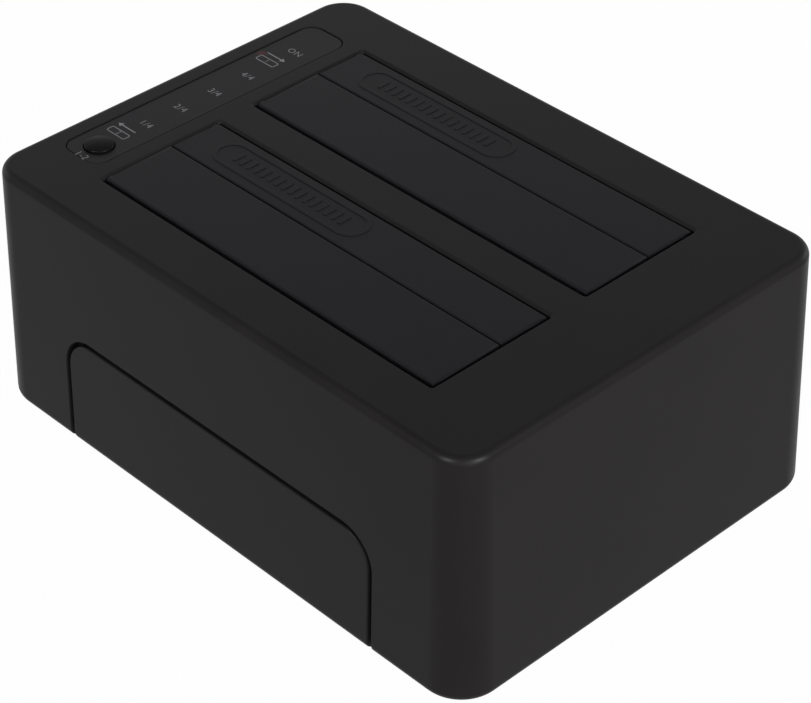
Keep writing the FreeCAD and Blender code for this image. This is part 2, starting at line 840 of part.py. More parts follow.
def drive_slots():
    """The power and signal slots of a drive socket: start and end along X."""
    start = drive_socket_x - drive_socket_length / 2 + slot_end
    power = (start, start + power_slot_length)
    signal = (power[1] + slot_divider, power[1] + slot_divider + signal_slot_length)
    return power, signal


def make_drive_socket(bay_y):
    """The upright socket that a drive plugs into."""
    y = drive_socket_y(bay_y)
    top = board_top + drive_socket_height
    body = box(centred(drive_socket_x, drive_socket_length), centred(y, drive_socket_width),
               (board_top, top))
    slots = [box(span, centred(y, drive_slot_width), (top - drive_slot_depth, top))
             for span in drive_slots()]
    return cut_all(body, slots)


def make_drive_contacts(bay_y):
    """The spring contacts along one side of the two slots."""
    y = drive_socket_y(bay_y) + drive_slot_width / 2
    top = board_top + drive_socket_height
    contacts = []
    for span, count in zip(drive_slots(), (power_contact_count, signal_contact_count)):
        middle = (span[0] + span[1]) / 2
        for index in range(count):
            x = middle + (index - (count - 1) / 2) * contact_pitch
            contacts.append(box(centred(x, contact_width), (y - contact_thickness, y),
                                (top - drive_slot_depth, top - contact_width)))
    return Part.Compound(contacts)


def port_face(z):
    """The plane of the sockets' mouths, just inside the rear wall's inner face."""
    return wall_face(z) - port_face_setback


def make_usb_shell():
    """The folded steel shell of the USB socket."""
    x_range = centred(usb_x, usb_width)
    z_range = (board_underside - usb_height, board_underside)
    mouth = port_face(board_underside)
    body = box(x_range, (mouth - usb_depth, mouth), z_range)
    room = box((x_range[0] + usb_shell, x_range[1] - usb_shell), (mouth - usb_depth + usb_shell, mouth),
               (z_range[0] + usb_shell, z_range[1] - usb_shell))
    return body.cut(room)


def make_usb_core():
    """The moulded core inside the USB socket: a rear block and the contact tongue."""
    mouth = port_face(board_underside)
    room_x = centred(usb_x, usb_width - 2 * usb_shell)
    low = board_underside - usb_height + usb_shell
    high = board_underside - usb_shell
    block = box(room_x, (mouth - usb_depth + usb_shell, mouth - usb_cavity_depth), (low, high))
    tongue_middle = (low + high) / 2
    tongue = box(centred(usb_x, usb_tongue_width), (mouth - usb_cavity_depth - usb_shell, mouth - usb_shell),
                 centred(tongue_middle, usb_tongue_height))
    return joined([block, tongue])


def make_jack():
    """The barrel power jack: a block with a round bore."""
    mouth = port_face(board_underside)
    z = board_underside - jack_height / 2
    body = box(centred(jack_x, jack_width), (mouth - jack_depth, mouth), centred(z, jack_height))
    bore = Part.makeCylinder(jack_bore_radius, jack_bore_depth, vec(jack_x, mouth, z), vec(0, -1, 0))
    return body.cut(bore)


def make_jack_pin():
    mouth = port_face(board_underside)
    z = board_underside - jack_height / 2
    return Part.makeCylinder(jack_pin_radius, jack_bore_depth - port_face_setback,
                             vec(jack_x, mouth - port_face_setback, z), vec(0, -1, 0))


def switch_centre_z():
    return board_underside - switch_body / 2


def switch_front():
    """Where the power switch's body ends, clear of the button at full travel."""
    return wall_face(foot_stand) - rear_panel_thickness - power_button_travel - switch_panel_gap


def make_switch_body():
    """The latching power switch, with the square hole that its stem slides in."""
    z = switch_centre_z()
    front = switch_front()
    body = box(centred(switch_x, switch_body), (front - switch_body_depth, front), centred(z, switch_body))
    side = power_stem_side + 2 * power_stem_clearance
    depth = power_stem_engaged + power_button_travel + power_stem_clearance
    hole = box(centred(switch_x, side), (front - depth, front), centred(z, side))
    return body.cut(hole)


def make_power_button():
    """The square power button and the stem that it drives into its switch."""
    z = switch_centre_z()
    face = wall_face(z) + power_button_proud
    side = power_button_side
    back = switch_front() + power_button_travel + power_stem_clearance
    cap = box(centred(switch_x, side), (back, face), centred(z, side))
    along = [edge for edge in cap.Edges if edge.BoundBox.YLength > side / 4
             and edge.BoundBox.XLength < same_place]
    cap = cap.makeFillet(power_button_corner, along)
    stem = box(centred(switch_x, power_stem_side), (switch_front() - power_stem_engaged, back + over_cut),
               centred(z, power_stem_side))
    return joined([cap, stem])


def make_cable_socket(facing, seat_z):
    """A socket for the flat cable, facing up or down from its board."""
    far = seat_z + facing * cable_socket_height
    body = box(centred(cable_x, cable_socket_width), centred(cable_y, cable_socket_length),
               sorted((seat_z, far)))
    mouth = box(centred(cable_x, cable_thickness + 2 * cable_slot_clearance),
                centred(cable_y, cable_width + 2 * cable_slot_clearance),
                sorted((far - facing * cable_socket_grip, far)))
    return body.cut(mouth)


def make_flat_cable():
    """The flat cable that drops from the indicator board to the main board."""
    bottom = board_top + cable_socket_height - cable_socket_grip
    top = indicator_underside - cable_socket_height + cable_socket_grip
    return box(centred(cable_x, cable_thickness), centred(cable_y, cable_width), (bottom, top))


def chips(places, side, height):
    """Flat square parts soldered under the main board."""
    z_range = (board_underside - height, board_underside)
    return Part.Compound([box(centred(x, side), centred(y, side), z_range) for x, y in places])


def make_capacitors():
    bottom = board_underside - capacitor_height
    return Part.Compound([disc(capacitor_radius, bottom, board_underside, x, y)
                          for x, y in capacitor_places])


pieces = {
    "top_shell": make_top_shell(),
    "front_panel": make_front_panel(),
    "rear_panel": make_rear_panel(),
    "base_tray": make_base_tray(),
    "rubber_feet": make_feet(),
    "case_screws": make_case_screws(),
    "board_screws": make_board_screws(),
    "indicator_board_screws": make_indicator_screws(),
    "well_screws": make_well_screws(),
    "label_strip": make_label_strip(),
    "clone_button": make_clone_button(),
    "clone_switch_plunger": make_tact_plunger(),
    "clone_switch": make_tact_switch(),
    "light_guide": make_light_guide(),
    "indicator_lamps": make_indicator_lamps(),
    "indicator_board": make_indicator_board(),
    "main_board": make_main_board(),
    "usb_shell": make_usb_shell(),
    "usb_core": make_usb_core(),
    "power_jack": make_jack(),
    "power_jack_pin": make_jack_pin(),
    "power_switch": make_switch_body(),
    "power_button": make_power_button(),
    "flat_cable": make_flat_cable(),
    "upper_cable_socket": make_cable_socket(-1, indicator_underside),
    "lower_cable_socket": make_cable_socket(1, board_top),
    "copy_controller": chips([controller_place], controller_side, controller_height),
    "bridge_chips": chips(bridge_places, bridge_side, bridge_height),
    "capacitors": make_capacitors(),
    "inductors": chips(inductor_places, inductor_side, inductor_height),
}

for bay_name, bay_y in (("front", front_bay_y), ("rear", rear_bay_y)):
    pieces[bay_name + "_bay_well"] = make_well(bay_y)
    pieces[bay_name + "_drive_socket"] = make_drive_socket(bay_y)
    pieces[bay_name + "_drive_contacts"] = make_drive_contacts(bay_y)
    for flap_name, rod_y, inward, width, wall_y in hinge_places(bay_y):
        name = bay_name + "_" + flap_name
        pieces[name + "_flap"] = make_flap(rod_y, inward, width, flap_name == "narrow")
        pieces[name + "_flap_rod"] = make_rod(rod_y)
        pieces[name + "_flap_springs"] = make_springs(rod_y, inward, wall_y)

os.makedirs("parts", exist_ok=True)
for node, shape in pieces.items():
    print(node, "valid", shape.isValid(), "solids", len(shape.Solids), "volume", round(shape.Volume, 1))
    shape.exportStep("parts/" + node + ".step")
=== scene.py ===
"""The looks of a dual bay hard drive dock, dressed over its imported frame.

Everything is in metres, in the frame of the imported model: X runs along the
long front face, Y from front to back, and Z up from the surface under the feet.
"""

import json
import logging
import math
from contextlib import contextmanager
from dataclasses import dataclass, field
from enum import Enum, IntEnum
from itertools import product
from typing import Callable, Iterator, Sequence

import bmesh
import bpy
from mathutils import Matrix, Vector


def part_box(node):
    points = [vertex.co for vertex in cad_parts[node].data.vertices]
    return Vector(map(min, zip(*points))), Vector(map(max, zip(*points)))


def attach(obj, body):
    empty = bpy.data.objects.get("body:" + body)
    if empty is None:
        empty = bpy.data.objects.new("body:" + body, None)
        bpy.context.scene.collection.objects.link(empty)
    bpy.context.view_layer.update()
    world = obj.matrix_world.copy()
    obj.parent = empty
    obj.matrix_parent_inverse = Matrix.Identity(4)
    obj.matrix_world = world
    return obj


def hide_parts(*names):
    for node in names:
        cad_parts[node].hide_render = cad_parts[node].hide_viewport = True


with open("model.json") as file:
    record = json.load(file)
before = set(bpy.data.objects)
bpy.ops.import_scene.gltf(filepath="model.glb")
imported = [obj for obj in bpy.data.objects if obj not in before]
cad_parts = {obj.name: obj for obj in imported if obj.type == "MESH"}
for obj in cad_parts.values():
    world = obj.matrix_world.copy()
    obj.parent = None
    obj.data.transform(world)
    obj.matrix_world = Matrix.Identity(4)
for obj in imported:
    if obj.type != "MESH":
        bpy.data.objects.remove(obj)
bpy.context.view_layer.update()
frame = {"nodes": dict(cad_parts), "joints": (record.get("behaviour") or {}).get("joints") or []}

MM = 0.001
QUARTER_TURN = math.pi / 2
SAME_PLACE = 2e-6
SAME_PLANE = math.radians(0.2)
SHARP_ANGLE = math.radians(25)
SMOOTH_ANGLE = math.radians(32)
SOFTENED_ANGLE = math.radians(40)
FACING = 0.99

log = logging.getLogger("dock")

Point = Sequence[float]
Colour = tuple[float, float, float]
Socket = bpy.types.NodeSocket
Edge = bmesh.types.BMEdge
EdgeRule = Callable[[Edge], bool]
FaceRule = Callable[[bmesh.types.BMFace], bool]


class Axis(Enum):
    """A direction that a round piece lies along, with the turn that lays it there."""

    X = (0.0, QUARTER_TURN, 0.0)
    Y = (-QUARTER_TURN, 0.0, 0.0)
    Z = (0.0, 0.0, 0.0)


class Join(Enum):
    """What a boolean does with the pieces that it is given."""

    CUT = "DIFFERENCE"
    ADD = "UNION"
    KEEP_COMMON = "INTERSECT"


class Pick(Enum):
    """What is selected in edit mode, with the name of its list in the mesh."""

    EDGE = "edges"
    FACE = "faces"


class Sides(IntEnum):
    """How many sides a round piece has."""

    FEW = 24
    SOME = 32
    MANY = 48
    SMOOTH = 64
    SMOOTHEST = 72


class FlapKind(Enum):
    """A flap of a bay: its name, which way along Y it reaches from its rod, and its width."""

    WIDE = ("wide", 1, 19.1 * MM)
    NARROW = ("narrow", -1, 13.6 * MM)

    def __init__(self, label: str, inward: int, width: float) -> None:
        """Name the values of one kind."""
        self.label, self.inward, self.width = label, inward, width


def clear_bench() -> None:
    """Leave edit mode and nothing selected, ready for the next operator."""
    if bpy.context.mode != "OBJECT":
        bpy.ops.object.mode_set(mode="OBJECT")
    bpy.ops.object.select_all(action="DESELECT")


def is_level(edge: Edge, z: float) -> bool:
    """Whether an edge lies wholly at one height."""
    return all(abs(vert.co.z - z) < SAME_PLACE for vert in edge.verts)


def is_upright(edge: Edge) -> bool:
    """Whether an edge runs straight up."""
    first, second = (vert.co for vert in edge.verts)
    return (first.xy - second.xy).length < SAME_PLACE


def is_across(edge: Edge) -> bool:
    """Whether an edge stays at one place along X."""
    first, second = (vert.co for vert in edge.verts)
    return abs(first.x - second.x) < SAME_PLACE


def is_sharp(edge: Edge) -> bool:
    """Whether two faces meet at an edge with a clear turn."""
    return len(edge.link_faces) == 2 and edge.calc_face_angle() > SHARP_ANGLE


def eased(start: float, end: float, radius: float, count: int = 3) -> list[tuple[float, float]]:
    """Steps that lead a profile round an arc.

    Args:
        start: The profile's slope where the arc starts: 0 when it is level, a quarter turn when it
            drops upright, and minus a quarter turn when it climbs upright.
        end: Its slope where the arc ends.
        radius: The arc's radius.
        count: How many straight runs the arc has.

    Returns:
        For each run, how far the profile draws in and how far it rises.
    """
    angles = [start + (end - start) * index / count for index in range(count + 1)]
    return [(radius * (math.sin(after) - math.sin(before)), radius * (math.cos(after) - math.cos(before)))
            for before, after in zip(angles, angles[1:])]


class Workpiece:
    """One mesh on the bench, shaped with the modelling operators."""

    def __init__(self, obj: bpy.types.Object) -> None:
        """Take up an object whose place is in its mesh."""
        self.obj = obj

    @classmethod
    def fresh(cls, name: str) -> "Workpiece":
        """Take up the primitive that was just added, with its place put in its mesh."""
        obj = bpy.context.active_object
        bpy.ops.object.transform_apply(location=True, rotation=True, scale=True)
        obj.name = name
        obj.data.name = name
        return cls(obj)

    @classmethod
    def block(cls, name: str, low: Point, high: Point) -> "Workpiece":
        """Add a block between its lowest and highest corners."""
        clear_bench()
        bpy.ops.mesh.primitive_cube_add(size=1, location=(Vector(low) + Vector(high)) / 2)
        bpy.context.active_object.scale = Vector(high) - Vector(low)
        return cls.fresh(name)

    @classmethod
    def about(cls, name: str, middle: Point, size: Point) -> "Workpiece":
        """Add a block about its middle."""
        return cls.block(name, Vector(middle) - Vector(size) / 2, Vector(middle) + Vector(size) / 2)

    @classmethod
    def drum(cls, name: str, radius: float, middle: Point, length: float,
             axis: Axis = Axis.Z, sides: Sides = Sides.MANY) -> "Workpiece":
        """Add a round piece about its middle.

        Args:
            name: What the piece is called.
            radius: Its radius.
            middle: Where its middle lies.
            length: Its length along its axis.
            axis: The axis that it lies along.
            sides: How many flat sides stand for its round one.

        Returns:
            The new piece.
        """
        clear_bench()
        bpy.ops.mesh.primitive_cylinder_add(radius=radius, depth=length, vertices=sides,
                                            location=middle, rotation=axis.value)
        return cls.fresh(name)

    @classmethod
    def outline(cls, name: str, centre: Point, size: Point, z: float, radius: float,
                segments: int) -> "Workpiece":
        """Add a flat rounded rectangle that faces up, ready to be raised.

        Args:
            name: What the piece is called.
            centre: Its middle along X and Y.
            size: Its length along X and Y.
            z: The height that it lies at.
            radius: The radius of its corners.
            segments: How many straight runs each corner has.

        Returns:
            The new piece, one face with round corners.
        """
        clear_bench()
        bpy.ops.mesh.primitive_plane_add(size=1, location=(centre[0], centre[1], z))
        bpy.context.active_object.scale = (size[0], size[1], 1)
        piece = cls.fresh(name)
        with piece.editing():
            bpy.ops.mesh.select_all(action="SELECT")
            bpy.ops.mesh.bevel(offset_type="OFFSET", offset=radius, segments=segments,
                               profile=0.5, affect="VERTICES")
            bpy.ops.mesh.remove_doubles(threshold=SAME_PLACE)
        return piece

    @classmethod
    def ring(cls, name: str, centre: Point, size: Point, z_range: Point, radius: float,
             line: float, segments: int) -> "Workpiece":
        """Add a flat rounded frame between two heights.

        Args:
            name: What the piece is called.
            centre: Its middle along X and Y.
            size: Its outer length along X and Y.
            z_range: Its lower and upper height.
            radius: The outer radius of its corners.
            line: The width of its line.
            segments: How many straight runs each corner has.

        Returns:
            The closed frame.
        """
        piece = cls.outline(name, centre, size, z_range[0], radius, segments)
        with piece.editing():
            bpy.ops.mesh.select_all(action="SELECT")
            bpy.ops.mesh.inset(thickness=line)
            bpy.ops.mesh.delete(type="FACE")
        return piece.thickened(z_range[1] - z_range[0])

    @classmethod
    def copy_of(cls, node: str) -> "Workpiece":
        """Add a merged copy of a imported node, so that its edges can be softened.

        Args:
            node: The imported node's name.

        Returns:
            The copy, named after the node with "_look" added.
        """
        obj = bpy.data.objects.new(node + "_look", frame["nodes"][node].data.copy())
        bpy.context.scene.collection.objects.link(obj)
        piece = cls(obj)
        with piece.editing():
            bpy.ops.mesh.customdata_custom_splitnormals_clear()
            bpy.ops.mesh.select_all(action="SELECT")
            bpy.ops.mesh.remove_doubles(threshold=SAME_PLACE)
            bpy.ops.mesh.dissolve_limited(angle_limit=SAME_PLANE)
        return piece

    def taken_up(self) -> None:
        """Select this piece alone and make it the active one."""
        clear_bench()
        self.obj.select_set(True)
        bpy.context.view_layer.objects.active = self.obj

    @contextmanager
    def editing(self) -> Iterator[bmesh.types.BMesh]:
        """Hold this piece alone in edit mode.

        Yields:
            The mesh under edit, for selecting by place or normal.
        """
        self.taken_up()
        bpy.ops.object.mode_set(mode="EDIT")
        bpy.ops.mesh.select_mode(type=Pick.FACE.name)
        yield bmesh.from_edit_mesh(self.obj.data)
        bpy.ops.object.mode_set(mode="OBJECT")
        self.obj.select_set(False)

    def pick(self, mesh: bmesh.types.BMesh, kind: Pick, rule: EdgeRule | FaceRule) -> int:
        """Select what a rule names.

        Args:
            mesh: The mesh under edit.
            kind: Whether edges or faces are selected.
            rule: Says of an edge or a face whether it is selected.

        Returns:
            How many are selected.
        """
        bpy.ops.mesh.select_mode(type=kind.name)
        bpy.ops.mesh.select_all(action="DESELECT")
        picked = [part for part in getattr(mesh, kind.value) if rule(part)]
        for part in picked:
            part.select_set(True)
        bmesh.update_edit_mesh(self.obj.data)
        return len(picked)

    def raised(self, steps: Sequence[tuple[float, float]]) -> "Workpiece":
        """Raise a flat outline into a closed form, step by step.

        Args:
            steps: For each step, how far the outline draws in and how far it rises.

        Returns:
            This piece, closed and facing outwards.
        """
        with self.editing() as mesh:
            bpy.ops.mesh.select_all(action="SELECT")
            for inset, rise in steps:
                bpy.ops.mesh.inset(thickness=inset, depth=rise, use_even_offset=True)
            self.pick(mesh, Pick.EDGE, lambda edge: edge.is_boundary)
            bpy.ops.mesh.edge_face_add()
            bpy.ops.mesh.select_all(action="SELECT")
            bpy.ops.mesh.normals_make_consistent(inside=False)
        return self

    def thickened(self, rise: float) -> "Workpiece":
        """Extrude a flat outline straight up into a closed slab."""
        with self.editing():
            bpy.ops.mesh.select_all(action="SELECT")
            bpy.ops.mesh.extrude_region_move(TRANSFORM_OT_translate={"value": (0, 0, rise)})
            bpy.ops.mesh.select_all(action="SELECT")
            bpy.ops.mesh.normals_make_consistent(inside=False)
        return self

    def rounded(self, rule: EdgeRule, offset: float, segments: int) -> "Workpiece":
        """Round the edges that a rule names.

        Args:
            rule: Says of an edge whether it is rounded.
            offset: How far from the edge the rounding starts.
            segments: How many faces the rounding has.

        Returns:
            This piece.
        """
        with self.editing() as mesh:
            if self.pick(mesh, Pick.EDGE, rule):
                bpy.ops.mesh.bevel(offset_type="OFFSET", offset=offset, segments=segments,
                                   profile=0.5, affect="EDGES")
            else:
                log.warning("%s has no edge to round", self.obj.name)
        return self

    def dished(self, rule: FaceRule, steps: Sequence[tuple[float, float]]) -> "Workpiece":
        """Draw the faces that a rule names inwards, step by step.

        Args:
            rule: Says of a face whether it is drawn in.
            steps: For each step, the inset and the depth along the face's normal.

        Returns:
            This piece.
        """
        with self.editing() as mesh:
            self.pick(mesh, Pick.FACE, rule)
            for inset, depth in steps:
                bpy.ops.mesh.inset(thickness=inset, depth=depth, use_even_offset=True)
        return self

    def moved_copy(self, shift: Point) -> "Workpiece":
        """Copy this piece, with a mesh of its own, moved by a shift."""
        obj = self.obj.copy()
        obj.data = self.obj.data.copy()
        bpy.context.scene.collection.objects.link(obj)
        piece = Workpiece(obj)
        piece.taken_up()
        bpy.ops.transform.translate(value=shift)
        bpy.ops.object.transform_apply(location=True, rotation=True, scale=True)
        return piece

    def fourfold(self, x: float, y: float) -> "Workpiece":
        """Repeat this piece, which stands at x and y, in the other three corners about the origin."""
        shifts = ((-2 * x, 0, 0), (0, -2 * y, 0), (-2 * x, -2 * y, 0))
        return self.with_joined([self.moved_copy(shift) for shift in shifts])

    def with_joined(self, others: Sequence["Workpiece"]) -> "Workpiece":
        """Take other pieces, which this one does not overlap, into one object."""
        if others:
            self.taken_up()
            for piece in others:
                piece.obj.select_set(True)
            bpy.ops.object.join()
        return self

    def modified(self, kind: str, **settings: object) -> "Workpiece":
        """Apply a modifier of some kind, with its settings, to this piece."""
        self.taken_up()
        modifier = self.obj.modifiers.new(kind.lower(), kind)
        for name, value in settings.items():
            setattr(modifier, name, value)
        bpy.ops.object.modifier_apply(modifier=modifier.name)
        return self

    def combined(self, join: Join, others: Sequence["Workpiece"]) -> "Workpiece":
        """Cut this piece with others, add them to it, or keep what they share.

        Args:
            join: What is done with the others.
            others: Closed pieces, which are joined into one tool and used up.

        Returns:
            This piece.
        """
        tool = others[0].with_joined(others[1:])
        self.modified("BOOLEAN", operation=join.value, solver="EXACT", object=tool.obj)
        bpy.data.objects.remove(tool.obj, do_unlink=True)
        with self.editing():
            bpy.ops.mesh.select_all(action="SELECT")
            bpy.ops.mesh.remove_doubles(threshold=SAME_PLACE)
        return self

    def softened(self, width: float) -> "Workpiece":
        """Round every sharp edge of a piece by a narrow bevel, kept off its small features."""
        return self.modified("BEVEL", width=width, segments=2, limit_method="ANGLE",
                             angle_limit=SOFTENED_ANGLE, use_clamp_overlap=True)

    def finished(self, material: bpy.types.Material) -> "Workpiece":
        """Shade curved faces smooth and flat ones flat, and give the piece one material."""
        self.taken_up()
        bpy.ops.object.shade_smooth_by_angle(angle=SMOOTH_ANGLE)
        self.modified("WEIGHTED_NORMAL", keep_sharp=True)
        return self.dressed(material)

    def dressed(self, material: bpy.types.Material) -> "Workpiece":
        """Give this piece one material all over."""
        self.obj.data.materials.clear()
        self.obj.data.materials.append(material)
        return self

    def placed(self, body: str, slot: str | None = None, nodes: Sequence[str] = ()) -> None:
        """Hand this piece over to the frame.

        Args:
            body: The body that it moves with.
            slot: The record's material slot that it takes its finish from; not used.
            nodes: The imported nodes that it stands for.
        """
        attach(self.obj, body)
        if nodes:
            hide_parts(*nodes)
        log.info("%s rides on %s: %d faces", self.obj.name, body, len(self.obj.data.polygons))


class Wiring:
    """A node tree that is being wired up."""

    def __init__(self, tree: bpy.types.NodeTree) -> None:
        """Start on a tree."""
        self.tree = tree

    def feed(self, socket: Socket, value: object) -> None:
        """Link another socket to an input, or set the input to a plain value."""
        if isinstance(value, Socket):
            self.tree.links.new(value, socket)
        else:
            socket.default_value = value

    def add(self, kind: str, inputs: dict[str | int, object] | None = None,
            **settings: object) -> bpy.types.Node:
        """Add a node and set it up.

        Args:
            kind: The node's type.
            inputs: For each input socket, a plain value or the socket that feeds it.
            settings: The node's own settings.

        Returns:
            The new node.
        """
        node = self.tree.nodes.new(kind)
        for name, value in settings.items():
            setattr(node, name, value)
        for name, value in (inputs or {}).items():
            self.feed(node.inputs[name], value)
        return node

    def maths(self, operation: str, first: object, second: object = 0.0) -> Socket:
        """Add a maths node and give its result."""
        return self.add("ShaderNodeMath", {0: first, 1: second}, operation=operation).outputs[0]

    def spread(self, value: Socket, low: object, high: object, source: Point = (0.0, 1.0),
               **settings: object) -> Socket:
        """Spread a value between a low and a high one, held at both ends.

        Args:
            value: What is spread.
            low: The result at the low end of the source.
            high: The result at its high end.
            source: The values that count as its low and high end.
            settings: The node's own settings.

        Returns:
            The result.
        """
        return self.add("ShaderNodeMapRange", {
            "Value": value, "From Min": source[0], "From Max": source[1], "To Min": low, "To Max": high},
            **settings).outputs["Result"]

    def blend(self, share: object, first: object, second: object) -> Socket:
        """Mix two colours by a share and give the result."""
        return self.add("ShaderNodeMix", {0: share, 6: first, 7: second}, data_type="RGBA").outputs[2]

    def noise(self, place: Socket, size: object, detail: float, roughness: float = 0.5) -> Socket:
        """Add noise with features of a size, and give its value."""
        return self.add("ShaderNodeTexNoise", {
            "Vector": place, "Scale": self.maths("DIVIDE", 1.0, size), "Detail": detail,
            "Roughness": roughness}).outputs["Fac"]

    def bump(self, depth: float, height: Socket) -> Socket:
        """Add a bump of a depth and give its normal."""
        node = self.add("ShaderNodeBump", {"Strength": 1.0, "Distance": depth, "Height": height})
        return node.outputs["Normal"]


def opaque(colour: Colour) -> tuple[float, float, float, float]:
    """A colour with full cover."""
    return (*colour, 1.0)


def scaled(colour: Colour, factor: float) -> Colour:
    """A colour made darker or lighter."""
    return tuple(part * factor for part in colour)


class Effect(Enum):
    """How tone, gloss and relief vary over a surface: a node group for each, by its inputs."""

    MOULDING = ("Vector", "Grain", "Cloud", "Deep", "Pale", "Smooth", "Rough")
    DRAWING = ("Vector", "Grain", "Deep", "Pale", "Smooth", "Rough")

    def tree(self) -> bpy.types.NodeTree:
        """Build the group once, and give it again after that."""
        name = self.name.lower()
        if name in bpy.data.node_groups:
            return bpy.data.node_groups[name]
        kinds = {"Vector": "NodeSocketVector", "Deep": "NodeSocketColor", "Pale": "NodeSocketColor",
                 "Color": "NodeSocketColor"}
        tree = bpy.data.node_groups.new(name, "ShaderNodeTree")
        for side, labels in (("INPUT", self.value), ("OUTPUT", ("Color", "Roughness", "Height"))):
            for label in labels:
                tree.interface.new_socket(name=label, in_out=side,
                                          socket_type=kinds.get(label, "NodeSocketFloat"))
        wiring = Wiring(tree)
        given, result = wiring.add("NodeGroupInput").outputs, wiring.add("NodeGroupOutput").inputs
        relief, tone = self.pattern(wiring, given)
        middle = (0.3, 0.7)
        share = wiring.spread(tone, 0.0, 1.0, middle)
        wiring.feed(result["Color"], wiring.blend(share, given["Deep"], given["Pale"]))
        wiring.feed(result["Roughness"], wiring.spread(tone, given["Smooth"], given["Rough"], middle))
        wiring.feed(result["Height"], relief)
        return tree

    def pattern(self, wiring: Wiring, given: bpy.types.NodeOutputs) -> tuple[Socket, Socket]:
        """Wire what varies over the surface.

        Args:
            wiring: The group's node tree.
            given: What the group is given.

        Returns:
            The relief and the tone: the same long scratches for drawn metal, and for moulded
            plastic a fine grain, then that grain among faint clouds.
        """
        if self is Effect.DRAWING:
            scratch_stretch = (0.06, 1.0, 1.0)
            drawn = wiring.add("ShaderNodeVectorMath", {0: given["Vector"], 1: scratch_stretch},
                               operation="MULTIPLY").outputs[0]
            lines = wiring.noise(drawn, given["Grain"], 4.0, 0.7)
            return lines, lines
        grain_share, cloud_share = 0.35, 0.65
        fine = wiring.noise(given["Vector"], given["Grain"], 3.0, 0.62)
        cloud = wiring.noise(given["Vector"], given["Cloud"], 2.0)
        return fine, wiring.maths("ADD", wiring.maths("MULTIPLY", fine, grain_share),
                                  wiring.maths("MULTIPLY", cloud, cloud_share))


@dataclass(frozen=True)
class Finish:
    """How a surface looks: its tone, gloss and relief, worked out from its own coordinates."""

    name: str
    tone: Colour
    spread: float = 0.08
    roughness: tuple[float, float] = (0.5, 0.6)
    specular: float = 0.5
    metallic: float = 0.0
    grain: float = 0.25 * MM
    cloud: float = 14 * MM
    relief: float = 0.004 * MM
    effect: Effect = Effect.MOULDING

    def material(self) -> bpy.types.Material:
        """Build the material once, and give it again after that."""
        name = "dock_" + self.name
        if name not in bpy.data.materials:
            made = bpy.data.materials.new(name)
            made.use_nodes = True
            made.node_tree.nodes.clear()
            wiring = Wiring(made.node_tree)
            shader = self.wire(wiring, wiring.add("ShaderNodeTexCoord").outputs["Object"])
            wiring.add("ShaderNodeOutputMaterial", {"Surface": shader})
        return bpy.data.materials[name]

    def surface(self, wiring: Wiring, place: Socket) -> bpy.types.Node:
        """Add the group of this finish's effect, with the finish's own values."""
        node = wiring.add("ShaderNodeGroup", node_tree=self.effect.tree())
        values = {"Vector": place, "Grain": self.grain, "Cloud": self.cloud,
                  "Deep": opaque(scaled(self.tone, 1 - self.spread)),
                  "Pale": opaque(scaled(self.tone, 1 + self.spread)),
                  "Smooth": self.roughness[0], "Rough": self.roughness[1]}
        for label in self.effect.value:
            wiring.feed(node.inputs[label], values[label])
        return node

    def principled(self, wiring: Wiring, surface: bpy.types.Node) -> bpy.types.Node:
        """Add the shader that takes a surface group's colour, roughness and height."""
        return wiring.add("ShaderNodeBsdfPrincipled", {
            "Base Color": surface.outputs["Color"], "Roughness": surface.outputs["Roughness"],
            "Metallic": self.metallic, "Specular IOR Level": self.specular,
            "Normal": wiring.bump(self.relief, surface.outputs["Height"])})

    def wire(self, wiring: Wiring, place: Socket) -> Socket:
        """Wire the surface from its coordinates, and give its shader."""
        return self.principled(wiring, self.surface(wiring, place)).outputs["BSDF"]


@dataclass(frozen=True)
class Metal(Finish):
    """Bare or plated metal with fine drawn scratches."""

    roughness: tuple[float, float] = (0.25, 0.4)
    metallic: float = 1.0
    grain: float = 0.12 * MM
    relief: float = 0.002 * MM
    effect: Effect = Effect.DRAWING


@dataclass(frozen=True)
class Film(Finish):
    """The satin legend film, with a painted glow: the faint red light of one lamp under it, painted into the
    film's colour.
    """

    # The painted glow of the lamp: where it is centred, how far it reaches and its red colour
    painted_glow_place: tuple[float, float, float] = (-68.0 * MM, 21.0 * MM, 63.9 * MM)
    painted_glow_radius: float = 1.6 * MM
    painted_glow_tone: Colour = (0.075, 0.026, 0.028)

    def wire(self, wiring: Wiring, place: Socket) -> Socket:
        """Wire the film and its painted red glow from its coordinates, and give its shader."""
        surface = self.surface(wiring, place)
        shader = self.principled(wiring, surface)
        distance = wiring.add("ShaderNodeVectorMath", {0: place, 1: self.painted_glow_place},
                              operation="DISTANCE").outputs["Value"]
        # Painted glow: near the lamp window the film's colour is blended towards red, standing in for the
        # lamp's light
        painted_glow = wiring.spread(distance, 1.0, 0.0, (0.0, self.painted_glow_radius))
        wiring.feed(shader.inputs["Base Color"],
                    wiring.blend(painted_glow, surface.outputs["Color"], opaque(self.painted_glow_tone)))
        return shader.outputs["BSDF"]


@dataclass(frozen=True)
class Clear(Finish):
    """Clear moulded plastic."""

    def wire(self, wiring: Wiring, place: Socket) -> Socket:
        """Wire the clear plastic from its coordinates, and give its shader."""
        ripple = wiring.noise(place, self.grain, 1.0)
        return wiring.add("ShaderNodeBsdfPrincipled", {
            "Base Color": opaque(self.tone), "Roughness": wiring.spread(ripple, *self.roughness),
            "Transmission Weight": 1.0, "Normal": wiring.bump(self.relief, ripple)}).outputs["BSDF"]


